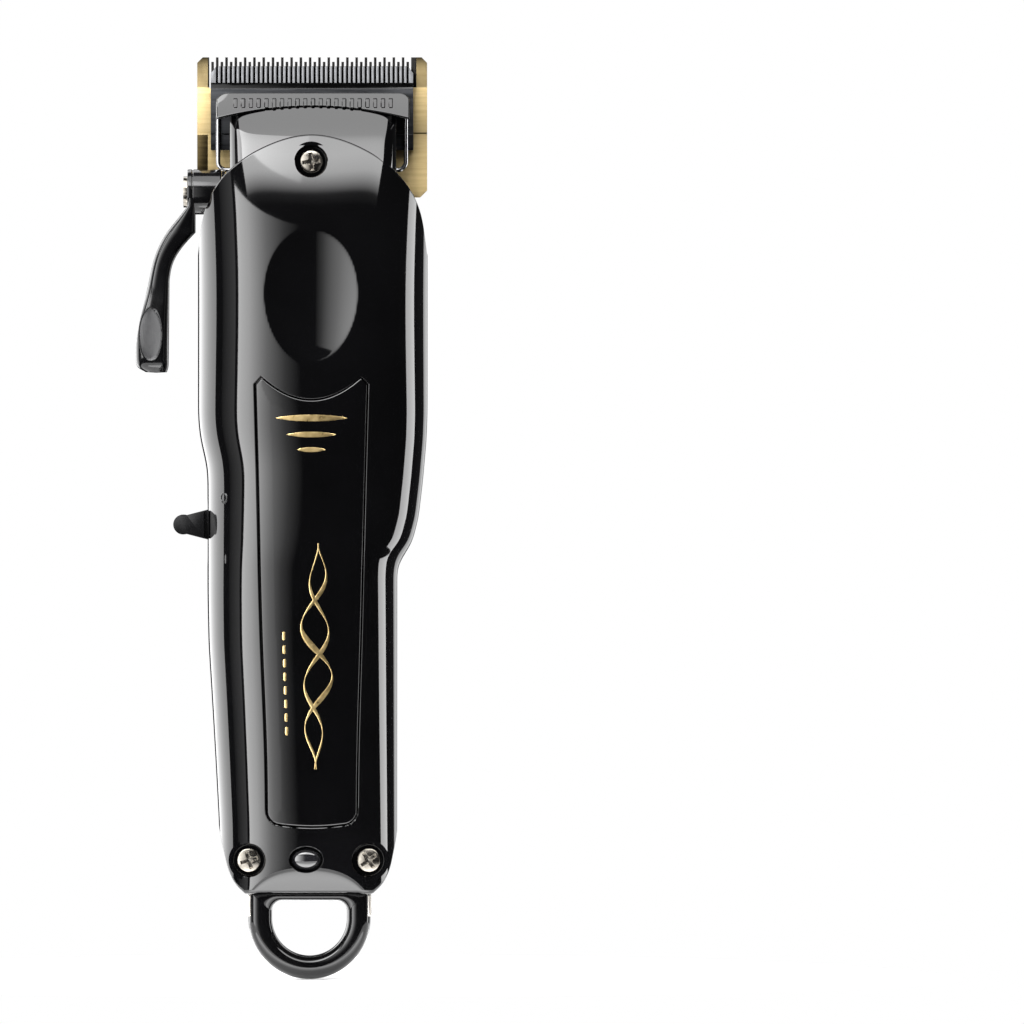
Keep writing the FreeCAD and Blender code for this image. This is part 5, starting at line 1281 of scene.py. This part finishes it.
# ---- LED lens: smoked oval dome
a = np.linspace(0, 2 * math.pi, 96, endpoint=False)
rows_p, rows_n = [], []
for k in np.linspace(0.03, 1.0, 26):
    t = k * math.pi / 2 * 0.94
    rx, rz, yy = 3.25 * math.sin(t), 2.45 * math.sin(t), -11.0 - 1.75 * math.cos(t)
    rows_p.append(np.stack([-1 + rx * np.cos(a), np.full(96, yy), 7.0 + rz * np.sin(a)], -1))
    rows_n.append(unit(np.stack([np.cos(a) * math.sin(t) / 3.25, np.full(96, -math.cos(t) / 1.75), np.sin(a) * math.sin(t) / 2.45], -1)))
lens_b = Build()
lens_b.grid(np.array(rows_p), np.array(rows_n), wrap=True)
lens_b.disc(rows_p[0], rows_p[0].mean(0), (0, -1, 0))
low_ring = rows_p[-1].copy()
low_ring[:, 1] = -10.95
radial = unit(np.stack([np.cos(a), 0 * a, np.sin(a)], -1))
lens_b.grid(np.array([rows_p[-1], low_ring]), radial, wrap=True)
lens_b.disc(low_ring, low_ring.mean(0), (0, 1, 0))
lens = lens_b.make("led_lens_form", [LENSM])
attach(lens, "handset")
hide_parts("led_lens")
well_b = Build()
ring = lambda fx, y: np.stack([-1 + (3.38 * fx) * np.cos(a), np.full(96, y), 7.0 + (2.58 * fx) * np.sin(a)], -1)
well_b.grid(np.array([ring(1.0, -12.6), ring(1.0, -10.9)]), -radial, wrap=True)
well_b.disc(ring(1.0, -10.9), (-1, -10.9, 7), (0, -1, 0))
well_b.grid(np.array([ring(1.0, -12.6), ring(1.3, -12.3)]), (0, -1, 0), wrap=True)
well_b.grid(np.array([ring(1.3, -12.3), ring(1.3, -10.2)]), radial, wrap=True)
well_b.disc(ring(1.3, -10.2), (-1, -10.2, 7), (0, 1, 0))
led_well = well_b.make("led_well", [GLOSS])
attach(led_well, "handset")


# ---- power marks beside the switch: a ring and a bar
def skin_frame(x, z):
    e = 0.02
    p = np.array([x, float(skin_front_y(x, z, False)), z])
    px = np.array([x + e, float(skin_front_y(x + e, z, False)), z]) - p
    pz = np.array([x, float(skin_front_y(x, z + e, False)), z + e]) - p
    n = unit(np.cross(px, pz))
    if n[1] > 0:
        n = -n
    return p, n, unit(pz), unit(np.cross(n, pz))


mark_b = Build()
p, n, up, across = skin_frame(-17.4, 79.0)
aa = np.linspace(0, 2 * math.pi, 49)
ring_path = np.array([p + n * 0.02 + up * 0.95 * math.cos(t) + across * 0.95 * math.sin(t) for t in aa])
cc = np.linspace(0, 2 * math.pi, 12, endpoint=False)
rp, rn = [], []
for t in aa:
    rad_v = up * math.cos(t) + across * math.sin(t)
    rp.append([p + rad_v * 0.95 + 0.2 * (rad_v * math.cos(c) + n * 0.7 * math.sin(c)) for c in cc])
    rn.append([rad_v * math.cos(c) + n * math.sin(c) for c in cc])
mark_b.grid(np.array(rp), np.array(rn), wrap=True)
p, n, up, across = skin_frame(-17.0, 66.8)
bar = np.array([p + up * t for t in np.linspace(-0.95, 0.95, 10)])
rp, rn = [], []
for i, t in enumerate(np.linspace(-1, 1, 10)):
    w = 0.24 * math.sqrt(max(1 - abs(t) ** 6, 0.02))
    rp.append([bar[i] + across * w * math.cos(c) + n * 0.15 * math.sin(c) for c in cc])
    rn.append([across * math.cos(c) + n * math.sin(c) for c in cc])
mark_b.grid(np.array(rp), np.array(rn), wrap=True)
mark_b.disc(rp[0], bar[0], -up)
mark_b.disc(rp[-1], bar[-1], up)
marks = mark_b.make("power_marks", [GLOSS])
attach(marks, "handset")

# ---- gold trim on the label: three bars and a plain double wave, no lettering
foil = Build()


def ribbon(points, width):
    """Thin raised foil along a centre line on the label."""
    c = np.asarray(points, float)
    t = unit(np.gradient(c, axis=0))
    n = np.stack([-t[:, 1], t[:, 0]], 1)
    w = np.linspace(-1, 1, 9)
    half = np.broadcast_to(np.asarray(width, float), (len(c),)) / 2
    X = c[:, 0:1] + n[:, 0:1] * half[:, None] * w
    Z = c[:, 1:2] + n[:, 1:2] * half[:, None] * w
    rise = 0.035 * (1 - np.abs(w) ** 4)
    base = label_y(X, Z)
    P = np.stack([X, base - 0.012 - rise, Z], -1)
    N = numeric(P)
    N = np.where(N[..., 1:2] > 0, -N, N)
    foil.grid(P, N)
    Q = P.copy()
    Q[..., 1] = base + 0.03
    foil.grid(Q, np.array([0, 1.0, 0]))
    for edge in ((0, slice(None)), (-1, slice(None)), (slice(None), 0), (slice(None), -1)):
        a0, a1 = P[edge], Q[edge]
        m = unit(a0 - P.reshape(-1, 3).mean(0))
        m[:, 1] = 0
        foil.grid(np.array([a0, a1]), np.broadcast_to(m + 1e-6, (2,) + m.shape))


for z, wide, tall in ((94.9, 14.2, 1.25), (91.6, 9.8, 1.05), (88.6, 5.6, 0.9)):
    xs_ = np.linspace(-wide / 2, wide / 2, 60) + 0.1
    lens_w = tall * (1 - np.abs(np.linspace(-1, 1, 60)) ** 2.4) + 0.06
    ribbon(np.stack([xs_, np.full(60, z)], 1), lens_w)
zw = np.linspace(70, 25, 260)
tt = (70 - zw) / 45
for phase, size, lead in ((0.0, 3.3, 0.75), (math.pi * 0.86, 2.5, 0.5)):
    amp = size * np.sin(math.pi * np.clip(tt, 0.02, 0.98)) ** 0.7
    xw = 1.4 + amp * np.sin(2 * math.pi * 2.1 * tt + phase) - 0.6 * tt
    ww = 0.2 + 1.35 * lead * np.sin(math.pi * tt) * (0.5 + 0.5 * np.cos(2 * math.pi * 4.2 * tt + 2 * phase + 0.7))
    ribbon(np.stack([xw, zw], 1), ww)
for k in range(8):
    zc = 51.5 - k * 2.7
    zs_ = np.linspace(zc - 0.85, zc + 0.85, 14)
    ribbon(np.stack([np.full(14, -5.4 + 0.03 * (51.5 - zc)), zs_], 1), 0.6 * np.sqrt(np.clip(1 - np.linspace(-1, 1, 14) ** 6, 0.02, 1)))
trim = foil.make("label_trim", [FOIL])
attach(trim, "handset")

# =====================================================================
# stage: floor, world, lights, camera
# =====================================================================
floor_me = bpy.data.meshes.new("floor")
ring = [(0.13 * math.cos(k * math.pi / 48), (0.16 if math.sin(k * math.pi / 48) > 0 else 0.10) * math.sin(k * math.pi / 48), -0.0173)
        for k in range(96)]
floor_me.from_pydata(ring, [], [list(range(96))])
floor = bpy.data.objects.new("floor", floor_me)
scene.collection.objects.link(floor)
fm, fnt, fb = material("floor_pale")
fn = noise(fnt, 9.0)
fnt.links.new(tint(fnt, fn.outputs[0], (0.90, 0.90, 0.90), (0.93, 0.93, 0.93)), fb.inputs["Base Color"])
fb.inputs["Roughness"].default_value = 0.6
fb.inputs["Emission Color"].default_value = (1, 1, 1, 1)
fb.inputs["Emission Strength"].default_value = 0.25
floor_me.materials.append(fm)

world = bpy.data.worlds.new("studio")
scene.world = world
world.use_nodes = True
wn = world.node_tree
wn.nodes.clear()
wo = wn.nodes.new("ShaderNodeOutputWorld")
mix = wn.nodes.new("ShaderNodeMixShader")
lp = wn.nodes.new("ShaderNodeLightPath")
b0 = wn.nodes.new("ShaderNodeBackground")
b1 = wn.nodes.new("ShaderNodeBackground")
b0.inputs[0].default_value = (0.04, 0.04, 0.042, 1)
b0.inputs[1].default_value = 1.0
b1.inputs[0].default_value = (1, 1, 1, 1)
b1.inputs[1].default_value = 1.0
wn.links.new(lp.outputs["Is Camera Ray"], mix.inputs[0])
wn.links.new(b0.outputs[0], mix.inputs[1])
wn.links.new(b1.outputs[0], mix.inputs[2])
wn.links.new(mix.outputs[0], wo.inputs[0])


def card(name, az, el, dist, wide, tall, radiance, fade=None, aim=(0.0, 0.0, 0.10), roll=0.0):
    """Soft rectangular light seen from the part at azimuth az (0 = front, + = right) and elevation el.
    radiance is what a mirror would show; fade lists (place, level) across the width."""
    a, e = math.radians(az), math.radians(el)
    pos = Vector((math.sin(a) * math.cos(e), -math.cos(a) * math.cos(e), math.sin(e))) * dist + Vector(aim)
    li = bpy.data.lights.new(name, "AREA")
    li.shape = "RECTANGLE"
    li.size = wide
    li.size_y = tall
    li.energy = radiance * wide * tall * math.pi
    ob = bpy.data.objects.new(name, li)
    scene.collection.objects.link(ob)
    ob.location = pos
    turn = Matrix.Rotation(math.radians(roll), 3, "Z")
    ob.rotation_euler = ((Vector(aim) - pos).to_track_quat("-Z", "Y").to_matrix() @ turn).to_euler()
    if fade:
        li.use_nodes = True
        nt = li.node_tree
        em = [n for n in nt.nodes if n.type == "EMISSION"][0]
        geo = nt.nodes.new("ShaderNodeNewGeometry")
        sep = nt.nodes.new("ShaderNodeSeparateXYZ")
        ramp = nt.nodes.new("ShaderNodeValToRGB")
        nt.links.new(geo.outputs["Parametric"], sep.inputs[0])
        nt.links.new(sep.outputs[fade[0]], ramp.inputs[0])
        el_ = ramp.color_ramp.elements
        while len(el_) < len(fade[1]):
            el_.new(0.5)
        for item, (place, level) in zip(el_, fade[1]):
            item.position = place
            item.color = (level, level, level, 1)
        nt.links.new(ramp.outputs[0], em.inputs["Strength"])
    return ob


# a: high front softbox, from 29 degrees up; b: its left part again, brighter and low
card("high_box", 0, 58, 1.3, 2.0, 1.5, 10.0, fade=(1, [(0.0, 0.0), (0.05, 0.02), (0.12, 0.85), (0.17, 1.0), (0.45, 0.6), (1.0, 0.45)]))
card("high_left", -43, 43, 1.2, 1.45, 0.46, 11.0, fade=(0, [(0.0, 1.0), (0.5, 0.85), (0.93, 0.25), (1.0, 0.2)]), roll=12.0)
# c: tall cards left behind, front left with a soft inner edge, and a narrow one on the right
card("left_back", -131, 4, 1.2, 1.3, 1.6, 3.4)
card("left_side", -74, 2, 1.2, 0.56, 1.4, 0.8, fade=(0, [(0.0, 0.1), (1.0, 1.0)]))
card("front_left", -30, -1, 1.3, 1.27, 1.25, 10.2, fade=(0, [(0.0, 1.0), (0.33, 0.74), (0.66, 0.28), (0.88, 0.07), (1.0, 0.0)]))
card("right_strip", 107, -8, 1.1, 0.42, 0.84, 6.5)
card("right_back", 158, 6, 1.4, 0.5, 1.4, 1.2)
card("back_high", 180, 48, 1.4, 1.2, 0.7, 3.0)
# d: small card lying on the floor under the tail, which lights the tail facet and the hook from below
tail_fill = card("tail_fill", 0, -90, 0.1168, 0.084, 0.048, 4.3, fade=(1, [(0.0, 0.0), (0.3, 0.7), (0.5, 1.0), (0.7, 0.7), (1.0, 0.0)]), aim=(0.0, -0.032, 0.1))
tail_fill.data.shape = "ELLIPSE"
tail_fill.visible_camera = False

cam_data = bpy.data.cameras.new("camera")
cam = bpy.data.objects.new("camera", cam_data)
scene.collection.objects.link(cam)
cam.location = (0.040, -3.0, 0.0762)
cam.rotation_euler = (math.pi / 2, 0, 0)
cam_data.sensor_width = 36.0
cam_data.lens = 36.0 * 3.0 / 0.2048
cam_data.clip_start = 0.05
cam_data.clip_end = 50
scene.camera = cam
scene.view_settings.view_transform = "Standard"
scene.view_settings.look = "None"
scene.view_settings.exposure = 0.0
scene.view_settings.gamma = 1.0
